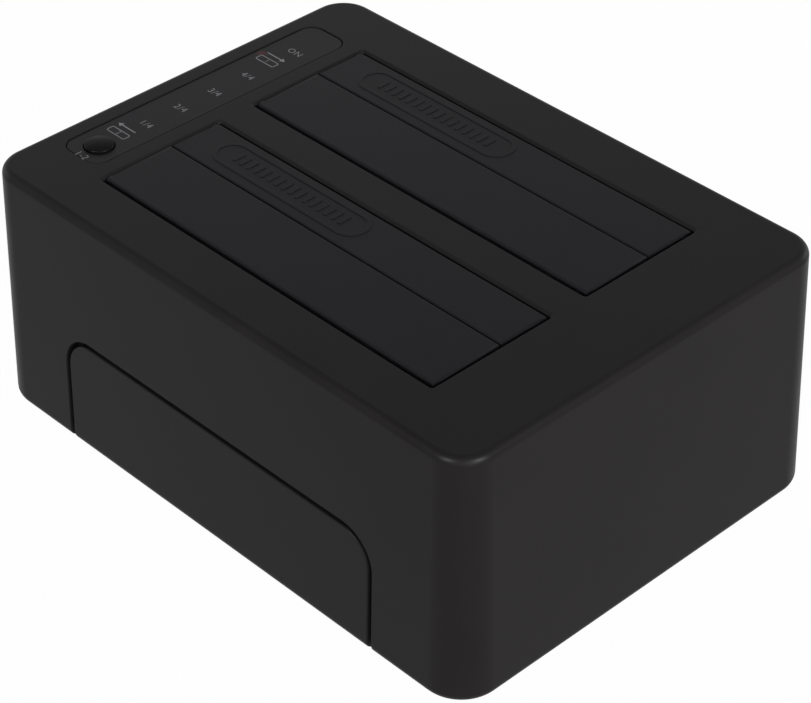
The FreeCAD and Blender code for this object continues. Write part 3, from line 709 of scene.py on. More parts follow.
@dataclass(frozen=True)
class Laminate(Finish):
    """Solder resist over copper tracks."""

    track_pitch: float = 1.6 * MM
    track_lift: float = 1.5
    tracks: float = 8.0
    track_edge: tuple[float, float] = (0.22, 0.26)

    def wire(self, wiring: Wiring, place: Socket) -> Socket:
        """Wire the board and its tracks from its coordinates, and give its shader."""
        bent = wiring.add("ShaderNodeTexVoronoi", {
            "Vector": place, "Scale": 1 / (self.tracks * self.track_pitch)}, distance="MANHATTAN")
        rings = wiring.maths("FRACT", wiring.maths("MULTIPLY", bent.outputs["Distance"], self.tracks))
        track = wiring.spread(wiring.maths("PINGPONG", rings, 0.5), 0.0, 1.0, self.track_edge)
        return wiring.add("ShaderNodeBsdfPrincipled", {
            "Base Color": wiring.blend(track, opaque(self.tone), opaque(scaled(self.tone, self.track_lift))),
            "Roughness": wiring.spread(wiring.noise(place, self.grain, 2.0), *self.roughness),
            "Normal": wiring.bump(self.relief, track)}).outputs["BSDF"]


CASE_PLASTIC = Finish("case_plastic", (0.0111, 0.0100, 0.0107), roughness=(0.37, 0.43), specular=0.05)
FLAP_PLASTIC = Finish("flap_plastic", (0.0102, 0.0097, 0.0117), roughness=(0.37, 0.43), specular=0.05)
INNER_PLASTIC = Finish("inner_plastic", (0.0095, 0.0095, 0.0100), roughness=(0.45, 0.55), specular=0.08)
STRIP_FILM = Film("strip_film", (0.0110, 0.0108, 0.0126), roughness=(0.36, 0.42), specular=0.06,
                  grain=0.1 * MM, relief=0.0015 * MM)
BUTTON_PLASTIC = Finish("button_plastic", (0.005, 0.005, 0.0055), roughness=(0.28, 0.34), specular=0.03,
                        grain=0.1 * MM, relief=0.001 * MM)
INK = Finish("ink", (0.2, 0.2, 0.21), spread=0.12, roughness=(0.5, 0.6), specular=0.3,
             grain=0.08 * MM, relief=0.001 * MM)
RUBBER = Finish("rubber", (0.018, 0.018, 0.018), spread=0.15, roughness=(0.8, 0.9), specular=0.3,
                relief=0.01 * MM)
SCREW_STEEL = Metal("screw_steel", (0.09, 0.09, 0.1), roughness=(0.3, 0.45))
ROD_STEEL = Metal("rod_steel", (0.03, 0.03, 0.032))
SPRING_STEEL = Metal("spring_steel", (0.03, 0.03, 0.032), roughness=(0.35, 0.5))
BOARD = Laminate("board_laminate", (0.012, 0.085, 0.035), roughness=(0.3, 0.4), relief=0.03 * MM)
CHIP_EPOXY = Finish("chip_epoxy", (0.016, 0.016, 0.017), roughness=(0.6, 0.7), relief=0.006 * MM)
SOCKET_PLASTIC = Finish("socket_plastic", (0.011, 0.011, 0.012), roughness=(0.38, 0.46), specular=0.4)
CONTACT_GOLD = Metal("contact_gold", (0.83, 0.6, 0.24), roughness=(0.2, 0.3))
SOCKET_STEEL = Metal("socket_steel", (0.66, 0.66, 0.67))
USB_PLASTIC = Finish("usb_plastic", (0.012, 0.012, 0.013), roughness=(0.4, 0.5), specular=0.4)
JACK_PIN_METAL = Metal("jack_pin_metal", (0.72, 0.72, 0.72), roughness=(0.12, 0.2))
CLEAR_PLASTIC = Clear("clear_plastic", (0.9, 0.92, 0.95), roughness=(0.08, 0.14), grain=2 * MM)
LAMP_EPOXY = Finish("lamp_epoxy", (0.75, 0.74, 0.62), spread=0.04, roughness=(0.25, 0.35))
CAPACITOR_CAN = Metal("capacitor_can", (0.6, 0.6, 0.62), roughness=(0.3, 0.4))
FERRITE = Finish("ferrite", (0.05, 0.05, 0.052), spread=0.15, roughness=(0.7, 0.8), relief=0.01 * MM)
CABLE_PLASTIC = Finish("cable_plastic", (0.7, 0.7, 0.67), spread=0.04, roughness=(0.4, 0.5))


@dataclass(frozen=True)
class CaseForm:
    """The tapered, rounded form that the case's walls and panels share."""

    length: float = 154 * MM
    depth: float = 112 * MM
    foot: float = 1.0 * MM
    top: float = 64.0 * MM
    draft: float = math.radians(1.7)
    corner: float = 10 * MM
    top_round: float = 2.0 * MM
    bottom_round: float = 2.3 * MM
    wall: float = 2.6 * MM
    roof: float = 2.4 * MM
    corner_segments: int = 16
    rim_segments: int = 8
    along_wall: float = 0.05
    out_of_wall: float = 0.3

    def at(self, z: float) -> float:
        """How far the walls have drawn in at a height."""
        return math.tan(self.draft) * (z - self.foot)

    def solid(self, name: str, inset: float, bottom: float, top: float) -> Workpiece:
        """Make the form between two heights, moved in by a wall.

        Args:
            name: What the piece is called.
            inset: The wall that it is moved in by.
            bottom: Its lowest height.
            top: Its highest height.

        Returns:
            The closed form, with sharp upper and lower rims.
        """
        step = inset + self.at(bottom)
        piece = Workpiece.outline(name, (0, 0), (self.length - 2 * step, self.depth - 2 * step), bottom,
                                  self.corner - step, self.corner_segments)
        return piece.raised([(self.at(top) - self.at(bottom), top - bottom)])

    def outer(self, name: str) -> Workpiece:
        """Make the outer form with its rounded upper and lower rims, hollowed out."""
        piece = self.solid(name, 0, self.foot, self.top)
        piece.rounded(lambda edge: is_level(edge, self.top),
                      self.top_round * math.tan((QUARTER_TURN - self.draft) / 2), self.rim_segments)
        piece.rounded(lambda edge: is_level(edge, self.foot),
                      self.bottom_round * math.tan((QUARTER_TURN + self.draft) / 2), self.rim_segments)
        hollow = self.solid("hollow", self.wall, self.foot - MM, self.top - self.roof)
        return piece.combined(Join.CUT, [hollow])

    def wall_layer(self, name: str, thickness: float, bottom: float) -> Workpiece:
        """Make a layer that lies against the inside of the walls, from a height up to the roof."""
        top = self.top - self.roof
        piece = self.solid(name, self.wall, bottom, top)
        core = self.solid(name + "_core", self.wall + thickness, bottom - MM, top + MM)
        return piece.combined(Join.CUT, [core])

    def at_opening(self, edge: Edge) -> bool:
        """Whether an edge is where an opening breaks through the outer face of a long wall."""
        if not is_sharp(edge):
            return False
        outward = [face.normal.y * math.copysign(1, edge.verts[0].co.y) for face in edge.link_faces]
        nearest = self.depth / 2 - 2 * self.bottom_round
        return (all(abs(vert.co.y) > nearest for vert in edge.verts)
                and abs(min(outward)) < self.along_wall and max(outward) > self.out_of_wall)


@dataclass(frozen=True)
class Arch:
    """An arch in a long wall: upright sides, round shoulders, flat top."""

    width: float
    top: float
    shoulder: float
    y_range: tuple[float, float]
    segments: int = 14

    def grown(self, margin: float) -> "Arch":
        """The same arch with its outline moved out by a margin."""
        return Arch(self.width + 2 * margin, self.top + margin, self.shoulder + margin, self.y_range)

    def block(self, bottom: float = 0) -> Workpiece:
        """Make the arch as a block through its wall, down to a bottom height."""
        half = self.width / 2
        piece = Workpiece.block("arch", (-half, self.y_range[0], bottom), (half, self.y_range[1], self.top))
        return piece.rounded(lambda edge: is_level(edge, self.top) and is_across(edge), self.shoulder,
                             self.segments)


@dataclass
class Bay:
    """One drive bay: its opening in the roof and the rods of its two flaps."""

    name: str
    length: float = 103.9 * MM
    width: float = 33.9 * MM
    hinge_gap: float = 0.3 * MM
    chamfer: float = 0.75 * MM
    open_wider: float = 0.15 * MM
    lip_round: float = 0.3 * MM
    corner: float = 0.25 * MM
    corner_segments: int = 5
    barrel: float = 1.5 * MM

    @property
    def middle(self) -> float:
        """The bay's middle along Y, worked out from the rod of its wide flap."""
        return self.rod(FlapKind.WIDE).y - self.barrel - self.hinge_gap + self.width / 2

    def rod(self, kind: FlapKind) -> Vector:
        """Where the rod of one flap lies."""
        name = f"{self.name}_{kind.label}_flap_hinge"
        return Vector(next(joint for joint in frame["joints"] if joint["name"] == name)["pos_m"])

    def cutter(self, form: CaseForm) -> Workpiece:
        """Make what cuts the bay out of the roof, with its chamfered lip.

        Args:
            form: The case's form, which gives the roof its height and thickness.

        Returns:
            The cutter, wider at the lip than in the opening.
        """
        above = MM
        slope = QUARTER_TURN / 2
        tangent = self.lip_round * math.tan(slope / 2)
        grow = self.chamfer + tangent
        straight = self.chamfer - self.open_wider - 2 * tangent * math.cos(slope)
        piece = Workpiece.outline(self.name + "_cutter", (0, self.middle),
                                  (self.length + 2 * grow, self.width + 2 * grow), form.top + above,
                                  self.corner + grow, self.corner_segments)
        return piece.raised([(0, -above), *eased(0, slope, self.lip_round), (straight, -straight),
                             *eased(slope, QUARTER_TURN, self.lip_round), (0, -form.roof)])


@dataclass
class StripPlan:
    """Where the legend strip, its button and its lamps lie."""

    thickness: float = 0.6 * MM
    radius: float = 3.4 * MM
    corner_segments: int = 10
    gap: float = 0.25 * MM
    recess: float = 0.8 * MM
    rim_round: float = 0.2 * MM
    button_radius: float = 3.45 * MM
    button_gap: float = 0.2 * MM
    lamp_x: float = -67.0 * MM
    lamp_hole: float = 1.3 * MM
    lamps_y: tuple[float, ...] = (26.7 * MM, 20.8 * MM, 11.7 * MM, 1.6 * MM, -8.5 * MM, -18.5 * MM,
                                  -23.9 * MM)

    def __post_init__(self) -> None:
        """Read the strip's box and the button's middle from the frame."""
        self.low, self.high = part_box("label_strip")
        low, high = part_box("clone_button")
        self.button = (low + high) / 2

    def outline(self, name: str, grow: float, z: float) -> Workpiece:
        """Make the strip's flat outline, grown by a margin, at a height."""
        size = self.high - self.low
        return Workpiece.outline(name, (self.low + self.high) / 2, (size.x + 2 * grow, size.y + 2 * grow), z,
                                 self.radius + grow, self.corner_segments)

    def recess_cutter(self, form: CaseForm) -> Workpiece:
        """Make what cuts the strip's recess into the roof, with its rounded rim."""
        above = MM
        piece = self.outline("recess", self.gap + self.rim_round, form.top + above)
        return piece.raised([(0, -above), *eased(0, QUARTER_TURN, self.rim_round),
                             (0, self.rim_round - self.recess)])

    def button_hole(self, z: float, length: float, sides: Sides) -> Workpiece:
        """Make what cuts the button's hole, about a height."""
        return Workpiece.drum("button_hole", self.button_radius + self.button_gap,
                              (self.button.x, self.button.y, z), length, sides=sides)


@dataclass
class Case:
    """The upper case: walls, roof, openings and screw posts."""

    form: CaseForm
    bays: Sequence[Bay]
    strip: StripPlan
    arches: Sequence[Arch]
    arch_round: float = 0.22 * MM
    post_radius: float = 3.0 * MM
    slim_post_radius: float = 2.2 * MM
    boss_radius: float = 2.4 * MM
    boss_length: float = 5.0 * MM
    pilot_radius: float = 1.27 * MM
    pilot_extra: float = 0.1 * MM
    screw_length: float = 7.0 * MM
    screw_reach: float = 9.6 * MM
    tray_top: float = 3.0 * MM
    rod_room: float = 0.65 * MM
    rod_room_round: float = 0.637 * MM
    rod_seat: float = 3.1 * MM

    def screw_places(self, node: str) -> list[Vector]:
        """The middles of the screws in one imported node, seen from above.

        Args:
            node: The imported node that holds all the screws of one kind.

        Returns:
            One place along X and Y for each screw.
        """
        found: list[list[Vector]] = []
        for vert in frame["nodes"][node].data.vertices:
            flat = vert.co.xy
            group = next((near for near in found if (near[0] - flat).length < self.screw_reach), None)
            if group is None:
                found.append([flat])
            else:
                group.append(flat)
        along = [tuple(zip(*group)) for group in found]
        return [Vector([(min(line) + max(line)) / 2 for line in lines]) for lines in along]

    def posts(self) -> tuple[list[Workpiece], list[Workpiece]]:
        """Make the screw posts under the roof, and the pilot holes in them."""
        under_roof = self.form.top - self.form.roof
        board_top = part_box("indicator_board")[1].z
        posts, pilots = [], []
        for node, radius, bottom, depth in (
                ("case_screws", self.post_radius, self.tray_top, self.screw_length),
                ("indicator_board_screws", self.slim_post_radius, board_top, self.screw_length),
                ("well_screws", self.boss_radius, under_roof - self.boss_length, self.boss_length)):
            for place in self.screw_places(node):
                length = under_roof + self.form.roof / 2 - bottom
                posts.append(Workpiece.drum("post", radius, (*place, bottom + length / 2), length,
                                            sides=Sides.SOME))
                pilots.append(Workpiece.drum("pilot", self.pilot_radius, (*place, bottom + depth / 2),
                                             depth + self.pilot_extra, sides=Sides.FEW))
        return posts, pilots

    def openings(self) -> list[Workpiece]:
        """Make what cuts the bays, arches and strip recess out of the walls."""
        return [*(bay.cutter(self.form) for bay in self.bays), *(arch.block() for arch in self.arches),
                self.strip.recess_cutter(self.form)]

    def holes(self) -> list[Workpiece]:
        """Make what cuts the lamp windows and the button's hole through the roof."""
        form, strip = self.form, self.strip
        middle, length = form.top - form.roof / 2, 2 * form.roof
        windows = [Workpiece.drum("window", strip.lamp_hole, (strip.lamp_x, y, middle), length,
                                  sides=Sides.FEW) for y in strip.lamps_y]
        return [*windows, strip.button_hole(middle, length, Sides.MANY)]

    def rod_grooves(self) -> list[Workpiece]:
        """Make what cuts the seats of the flap rods into the ends of the bays."""
        grooves = []
        for bay, kind in product(self.bays, FlapKind):
            rod = bay.rod(kind)
            reach, top = bay.length / 2 + self.rod_seat, rod.z + self.rod_room
            groove = Workpiece.block("groove", (-reach, rod.y - self.rod_room, rod.z - self.form.roof),
                                     (reach, rod.y + self.rod_room, top))
            grooves.append(groove.rounded(lambda edge, z=top: is_level(edge, z) and not is_across(edge),
                                          self.rod_room_round, 5))
        return grooves

    def build(self) -> None:
        """Make the shell and hand it over."""
        shell = self.form.outer("case_shell")
        posts, pilots = self.posts()
        shell.combined(Join.ADD, posts)
        for cutters in (pilots, self.openings(), self.holes(), self.rod_grooves()):
            shell.combined(Join.CUT, cutters)
        shell.rounded(self.form.at_opening, self.arch_round, 3)
        shell.finished(CASE_PLASTIC.material())
        shell.placed("case", "case_plastic", ["top_shell"])


@dataclass
class FrontPanel:
    """The blank arch panel in the front wall."""

    form: CaseForm
    arch: Arch
    gap: float = 1.2 * MM
    edge_round: float = 0.3 * MM
    flange: float = 1.6 * MM
    flange_margin: float = 3.0 * MM
    flange_bottom: float = 3.0 * MM

    def build(self) -> None:
        """Make the panel and its flange, and hand them over."""
        form = self.form
        plate = form.outer("front_panel_plate")
        plate.combined(Join.KEEP_COMMON, [self.arch.grown(-self.gap).block()])
        plate.rounded(form.at_opening, self.edge_round, 3)
        layer = form.wall_layer("layer", self.flange, self.flange_bottom)
        layer.combined(Join.KEEP_COMMON, [self.arch.grown(self.flange_margin).block(self.flange_bottom)])
        plate.combined(Join.ADD, [layer])
        plate.finished(CASE_PLASTIC.material())
        plate.placed("case", "case_plastic", ["front_panel"])


@dataclass
class Flap:
    """One spring flap: a plate with a round barrel at its hinge edge, and its two springs."""

    bay: Bay
    kind: FlapKind
    top: float
    side_gap: float = 0.3 * MM
    thickness: float = 2.0 * MM
    hinge_trim: float = 0.4 * MM
    edge_round: float = 0.5 * MM
    free_edge_round: float = 0.4 * MM
    rod_room: float = 0.65 * MM
    tab_inset: float = 3.0 * MM
    tab_width: float = 6.0 * MM
    tab_thickness: float = 0.9 * MM
    tab_top: float = 61.5 * MM
    tab_root: float = 1.5 * MM
    tab_reach: float = 0.7 * MM
    spring_x: float = 40 * MM
    spring_length: float = 5.0 * MM
    spring_radius: float = 1.0 * MM
    wire: float = 0.35 * MM
    leg_gap: float = 0.1 * MM
    notch_length: float = 7.0 * MM
    notch_room: float = 1.6 * MM
    notch_depth: float = 3.0 * MM
    notch_rise: float = 0.35 * MM
    notch_skin: float = 0.3 * MM

    @property
    def name(self) -> str:
        """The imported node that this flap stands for."""
        return f"{self.bay.name}_{self.kind.label}_flap"

    @property
    def rod(self) -> Vector:
        """Where the flap's rod lies."""
        return self.bay.rod(self.kind)

    @property
    def half_length(self) -> float:
        """Half the flap's length along X."""
        return self.bay.length / 2 - self.side_gap

    @property
    def reach(self) -> float:
        """How far the free edge lies from the rod."""
        return self.kind.width - self.bay.barrel

    def span(self, first: float, second: float) -> tuple[float, float]:
        """The low and high of two distances from the rod towards the free edge."""
        return tuple(sorted(self.rod.y + self.kind.inward * distance for distance in (first, second)))

    def beyond(self, first: float, second: float, low: float, high: float) -> Workpiece:
        """Make a cutter past both ends of the flap.

        Args:
            first: Where it starts, as a distance from the rod towards the free edge.
            second: Where it ends.
            low: Its lowest height.
            high: Its highest height.

        Returns:
            The block.
        """
        y_low, y_high = self.span(first, second)
        return Workpiece.block("beyond", (-self.bay.length, y_low, low), (self.bay.length, y_high, high))

    def plate(self) -> Workpiece:
        """Make the flat plate: its upper rim is rounded, less so at the free edge."""
        low, high = self.span(self.hinge_trim - self.bay.barrel, self.reach)
        free = self.rod.y + self.kind.inward * self.reach
        piece = Workpiece.block(self.name + "_look", (-self.half_length, low, self.top - self.thickness),
                                (self.half_length, high, self.top))

        def at_free_edge(edge: Edge) -> bool:
            """Whether an edge is the upper one of the free side."""
            return is_level(edge, self.top) and all(abs(vert.co.y - free) < SAME_PLACE for vert in edge.verts)

        def at_outer_rim(edge: Edge) -> bool:
            """Whether an edge is an upper one of the hinge side or of an end."""
            away = any(abs(vert.co.y - free) > self.edge_round for vert in edge.verts)
            return is_level(edge, self.top) and is_sharp(edge) and away

        piece.rounded(at_free_edge, self.free_edge_round, 3)
        piece.rounded(at_outer_rim, self.edge_round, 5)
        under_hinge = self.beyond(-2 * self.bay.barrel, 0, self.top - 2 * self.thickness, self.rod.z)
        return piece.combined(Join.CUT, [under_hinge])

    def barrel(self) -> Workpiece:
        """Make the barrel that turns on the rod, cut flush with the plate's hinge edge."""
        radius, rod = self.bay.barrel, self.rod
        barrel = self.along_rod("barrel", radius, 0, 2 * self.half_length, Sides.SMOOTH)
        outside = self.beyond(-2 * radius, self.hinge_trim - radius, rod.z - 2 * radius, self.top + MM)
        return barrel.combined(Join.CUT, [outside])

    def tabs(self) -> list[Workpiece]:
        """Make the two tabs that stop the flap under the roof."""
        outer = self.reach - self.tab_inset
        low, high = self.span(outer - self.tab_width, outer)
        bottom = self.tab_top - self.tab_thickness
        made = []
        for side in (-1, 1):
            root = side * (self.half_length - self.tab_root)
            stem_x = sorted((root, side * self.half_length))
            tab_x = sorted((root, side * (self.bay.length / 2 + self.tab_reach)))
            tab = Workpiece.block("tab", (tab_x[0], low, bottom), (tab_x[1], high, self.tab_top))
            stem = Workpiece.block("stem", (stem_x[0], low, bottom),
                                   (stem_x[1], high, self.top - self.thickness / 2))
            made.append(tab.combined(Join.ADD, [stem]))
        return made

    def along_rod(self, name: str, radius: float, x: float, length: float, sides: Sides) -> Workpiece:
        """Make a round piece on the rod's line.

        Args:
            name: What the piece is called.
            radius: Its radius.
            x: Its middle along X.
            length: Its length.
            sides: How many flat sides stand for its round one.

        Returns:
            The new piece.
        """
        return Workpiece.drum(name, radius, (x, self.rod.y, self.rod.z), length, Axis.X, sides)

    def spring_room(self) -> list[Workpiece]:
        """Make what cuts the rod's bore and the notches for the two springs."""
        rod, half, room = self.rod, self.notch_length / 2, self.notch_room
        bore = self.along_rod("bore", self.rod_room, 0, self.bay.length, Sides.SOME)
        for x in (-self.spring_x, self.spring_x):
            notch = Workpiece.block("notch", (x - half, rod.y - room, rod.z - self.notch_depth),
                                    (x + half, rod.y + room, rod.z + self.notch_rise))
            drum = self.along_rod("notch_round", self.bay.barrel - self.notch_skin, x, self.notch_length,
                                  Sides.MANY)
            bore.combined(Join.ADD, [notch.combined(Join.ADD, [drum])])
        return [bore]

    def sleeve(self, x: float) -> Workpiece:
        """Make a spring's wound sleeve and its leg against the case, at a place along X.

        Args:
            x: The middle of the spring along X.

        Returns:
            The sleeve and its leg as one piece.
        """
        rod, inward, wire = self.rod, self.kind.inward, self.wire
        low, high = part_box(self.name + "_springs")
        wall = low.y if inward > 0 else high.y
        start, half = x - self.spring_length / 2, wire / 2
        sleeve = self.along_rod(self.name + "_springs_look", self.spring_radius, x, self.spring_length,
                                Sides.MANY)
        bore = self.along_rod("bore", self.spring_radius - wire, x, 2 * self.spring_length, Sides.MANY)
        sleeve.combined(Join.CUT, [bore])
        arm_y = sorted((wall, rod.y - inward * (self.spring_radius - half)))
        drop_y = sorted((wall, wall + inward * wire))
        arm = Workpiece.block("arm", (start, arm_y[0], rod.z - half), (start + wire, arm_y[1], rod.z + half))
        drop = Workpiece.block("drop", (start, drop_y[0], low.z), (start + wire, drop_y[1], rod.z + half))
        return sleeve.combined(Join.ADD, [arm, drop])

    def lifting_leg(self, x: float) -> Workpiece:
        """Make a spring's other leg, which lies under the plate and turns with it.

        Args:
            x: The middle of the spring along X.

        Returns:
            The leg.
        """
        low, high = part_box(self.name + "_springs")
        tip = high.y if self.kind.inward > 0 else low.y
        root = self.rod.y + self.kind.inward * (self.spring_radius - self.wire * 2 / 3)
        y_low, y_high = sorted((root, tip))
        end, top = x + self.spring_length / 2, self.top - self.thickness - self.leg_gap
        return Workpiece.block(self.name + "_spring_legs", (end - self.wire, y_low, top - self.wire),
                               (end, y_high, top))

    def springs(self) -> None:
        """Make the two springs: sleeves that stay with the case, and legs that turn with the flap."""
        places = (-self.spring_x, self.spring_x)
        for make, body, nodes in ((self.sleeve, "case", [self.name + "_springs"]),
                                  (self.lifting_leg, self.name, [])):
            first, second = (make(x) for x in places)
            first.with_joined([second]).finished(SPRING_STEEL.material())
            first.placed(body, "spring_steel", nodes)

    def relief(self) -> list[Workpiece]:
        """Make what stands proud of the plate: nothing on a plain flap."""
        return []

    def build(self) -> None:
        """Make the flap and its springs, and hand them over."""
        piece = self.plate()
        piece.combined(Join.ADD, [self.barrel()])
        piece.combined(Join.ADD, self.tabs())
        piece.combined(Join.CUT, self.spring_room())
        raised = self.relief()
        if raised:
            piece.combined(Join.ADD, raised)
        piece.finished(FLAP_PLASTIC.material())
        piece.placed(self.name, "flap_plastic", [self.name])
        self.springs()


@dataclass
class RibbedFlap(Flap):
    """A flap with a raised frame and a row of grip ribs in it."""

    hinge_trim: float = 0.15 * MM
    frame_inset: float = 7.85 * MM
    frame_length: float = 47.8 * MM
    frame_width: float = 9.2 * MM
    frame_line: float = 1.1 * MM
    frame_offset: float = 0.5 * MM
    frame_segments: int = 12
    rise: float = 0.15 * MM
    soft: float = 0.1 * MM
    rib_count: int = 16
    rib_pitch: float = 2.3 * MM
    rib_width: float = 1.0 * MM
    rib_length: float = 3.6 * MM
    rib_corner: float = 0.3 * MM

    def relief(self) -> list[Workpiece]:
        """Make the raised frame and the ribs in it."""
        base, top = self.top - self.rise, self.top + self.rise
        x = self.frame_inset + self.frame_length / 2 - self.bay.length / 2
        y = sum(self.span(-self.bay.barrel, self.reach)) / 2 + self.frame_offset
        ring = Workpiece.ring("ring", (x, y), (self.frame_length, self.frame_width), (base, top),
                              self.frame_width / 2, self.frame_line, self.frame_segments)
        ring.rounded(lambda edge: is_level(edge, top) and is_sharp(edge), self.soft, 2)
        first_x = x - (self.rib_count - 1) / 2 * self.rib_pitch
        rib = Workpiece.about("rib", (first_x, y, self.top), (self.rib_width, self.rib_length, top - base))
        rib.rounded(is_upright, self.rib_corner, 3)
        rib.rounded(lambda edge: is_level(edge, top), self.soft, 2)
        shifts = [(index * self.rib_pitch, 0, 0) for index in range(1, self.rib_count)]
        return [ring, rib, *(rib.moved_copy(shift) for shift in shifts)]


@dataclass
class Legend:
    """The legend strip: its film, its printed marks and the round button in it."""

    plan: StripPlan
    form: CaseForm
    film_round: float = 0.12 * MM
    ink_rise: float = 0.015 * MM
    figure_height: float = 1.9 * MM
    size_for_height: float = 1.38
    letter_space: float = 1.12
    stroke_thinning: float = 0.02 * MM
    marks: tuple[tuple[str, float, float], ...] = (
        ("ON", -62.8 * MM, 26.7 * MM),
        ("4/4", -62.6 * MM, 11.7 * MM),
        ("3/4", -62.5 * MM, 1.6 * MM),
        ("2/4", -62.7 * MM, -8.5 * MM),
        ("1/4", -62.9 * MM, -18.5 * MM),
        ("1-2", -62.9 * MM, -37.1 * MM),
    )
    bays_at: tuple[tuple[str, int, float, float], ...] = (
        ("1", 1, -64.5 * MM, 20.85 * MM),
        ("2", -1, -64.5 * MM, -23.9 * MM),
    )
    arrow_length: float = 5.6 * MM
    arrow_line: float = 0.32 * MM
    arrow_head: float = 0.85 * MM
    tag_size: tuple[float, float] = (6.2 * MM, 2.2 * MM)
    tag_corner: float = 0.55 * MM
    tag_line: float = 0.22 * MM
    tag_figure_height: float = 1.32 * MM
    line_pitch: float = 1.35 * MM
    crown: float = 0.4 * MM
    crown_end: float = 0.05
    button_round: float = 0.3 * MM
    flange_radius: float = 4.6 * MM
    flange_thickness: float = 1.0 * MM
    flange_drop: float = 0.1 * MM
    stem_radius: float = 1.6 * MM

    def film(self) -> None:
        """Make the film with the hole for the button."""
        plan = self.plan
        film = plan.outline("label_film", 0, plan.low.z).thickened(plan.thickness)
        film.combined(Join.CUT, [plan.button_hole(plan.high.z, 4 * plan.thickness, Sides.SMOOTH)])
        film.rounded(lambda edge: is_level(edge, plan.high.z) and is_sharp(edge), self.film_round, 2)
        film.finished(STRIP_FILM.material())
        film.placed("case", "strip_film", ["label_strip"])

    def figure(self, text: str, x: float, y: float, height: float) -> Workpiece:
        """Make one printed figure, centred at a place on the film.

        Args:
            text: The figure's letters.
            x: Its middle along X.
            y: Its middle along Y.
            height: How tall its capitals are.

        Returns:
            The figure as a thin slab in the film's upper face.
        """
        clear_bench()
        bpy.ops.object.text_add(location=(x, y, self.plan.high.z))
        curve = bpy.context.active_object.data
        curve.body = text
        curve.size = height * self.size_for_height
        curve.space_character = self.letter_space
        curve.offset = -self.stroke_thinning
        curve.align_x = "CENTER"
        curve.align_y = "CENTER"
        curve.resolution_u = 3
        curve.extrude = self.ink_rise
        bpy.ops.object.convert(target="MESH")
        return Workpiece.fresh("figure")

    def arrow(self, way: int, x: float, y: float) -> Workpiece:
        """Make an arrow that points one way along X, about its middle.

        Args:
            way: 1 when it points along X, and -1 against it.
            x: Its middle along X.
            y: Its middle along Y.

        Returns:
            The arrow, shaft and head in one.
        """
        z, half, thickness = self.plan.high.z, self.arrow_length / 2, 2 * self.ink_rise
        shaft = Workpiece.about("shaft", (x - way * self.arrow_head / 2, y, z),
                                (self.arrow_length - self.arrow_head, self.arrow_line, thickness))
        clear_bench()
        bpy.ops.mesh.primitive_cylinder_add(vertices=3, radius=self.arrow_head, depth=thickness,
                                            location=(x + way * (half - self.arrow_head / 2), y, z),
                                            rotation=(0, 0, -way * QUARTER_TURN))
        return shaft.combined(Join.ADD, [Workpiece.fresh("head")])

    def print_marks(self) -> None:
        """Make every printed mark as one thin piece of ink on the film."""
        z, rise = self.plan.high.z, self.ink_rise
        printed = [self.figure(text, x, y, self.figure_height) for text, x, y in self.marks]
        for text, way, x, y in self.bays_at:
            below = y - self.line_pitch
            printed.append(self.arrow(way, x, y + self.line_pitch))
            printed.append(Workpiece.ring("tag", (x, below), self.tag_size, (z - rise, z + rise),
                                          self.tag_corner, self.tag_line, 4))
            printed.append(self.figure(text, x, below, self.tag_figure_height))
        ink = printed[0].with_joined(printed[1:])
        ink.obj.name = "legend_ink"
        ink.dressed(INK.material())
        ink.placed("case")

    def button(self) -> None:
        """Make the domed button with its flange and stem."""
        plan = self.plan
        low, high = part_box("clone_button")
        x, y = plan.button.x, plan.button.y
        cap_bottom = self.form.top - self.form.roof
        dome = (plan.button_radius ** 2 + self.crown ** 2) / (2 * self.crown)
        slope = math.asin((plan.button_radius - self.button_round) / (dome - self.button_round))
        side_top = high.z - dome * (1 - math.cos(slope)) - self.button_round * math.cos(slope)
        cap = Workpiece.drum("clone_button_look", plan.button_radius, (x, y, (cap_bottom + side_top) / 2),
                             side_top - cap_bottom, sides=Sides.SMOOTHEST)
        cap.dished(lambda face: face.normal.z > FACING,
                   [*eased(-QUARTER_TURN, -slope, self.button_round, 5),
                    *eased(-slope, -slope * self.crown_end, dome, 8)])
        flange_middle = cap_bottom - self.flange_drop - self.flange_thickness / 2
        flange = Workpiece.drum("flange", self.flange_radius, (x, y, flange_middle), self.flange_thickness,
                                sides=Sides.SMOOTH)
        stem = Workpiece.drum("stem", self.stem_radius, (x, y, (low.z + cap_bottom) / 2), cap_bottom - low.z,
                              sides=Sides.SOME)
        cap.combined(Join.ADD, [flange]).combined(Join.ADD, [stem])
        cap.finished(BUTTON_PLASTIC.material())
        cap.placed("clone_button", "button_plastic", ["clone_button"])

    def build(self) -> None:
        """Make the film, the ink and the button."""
        self.film()
        self.print_marks()
        self.button()


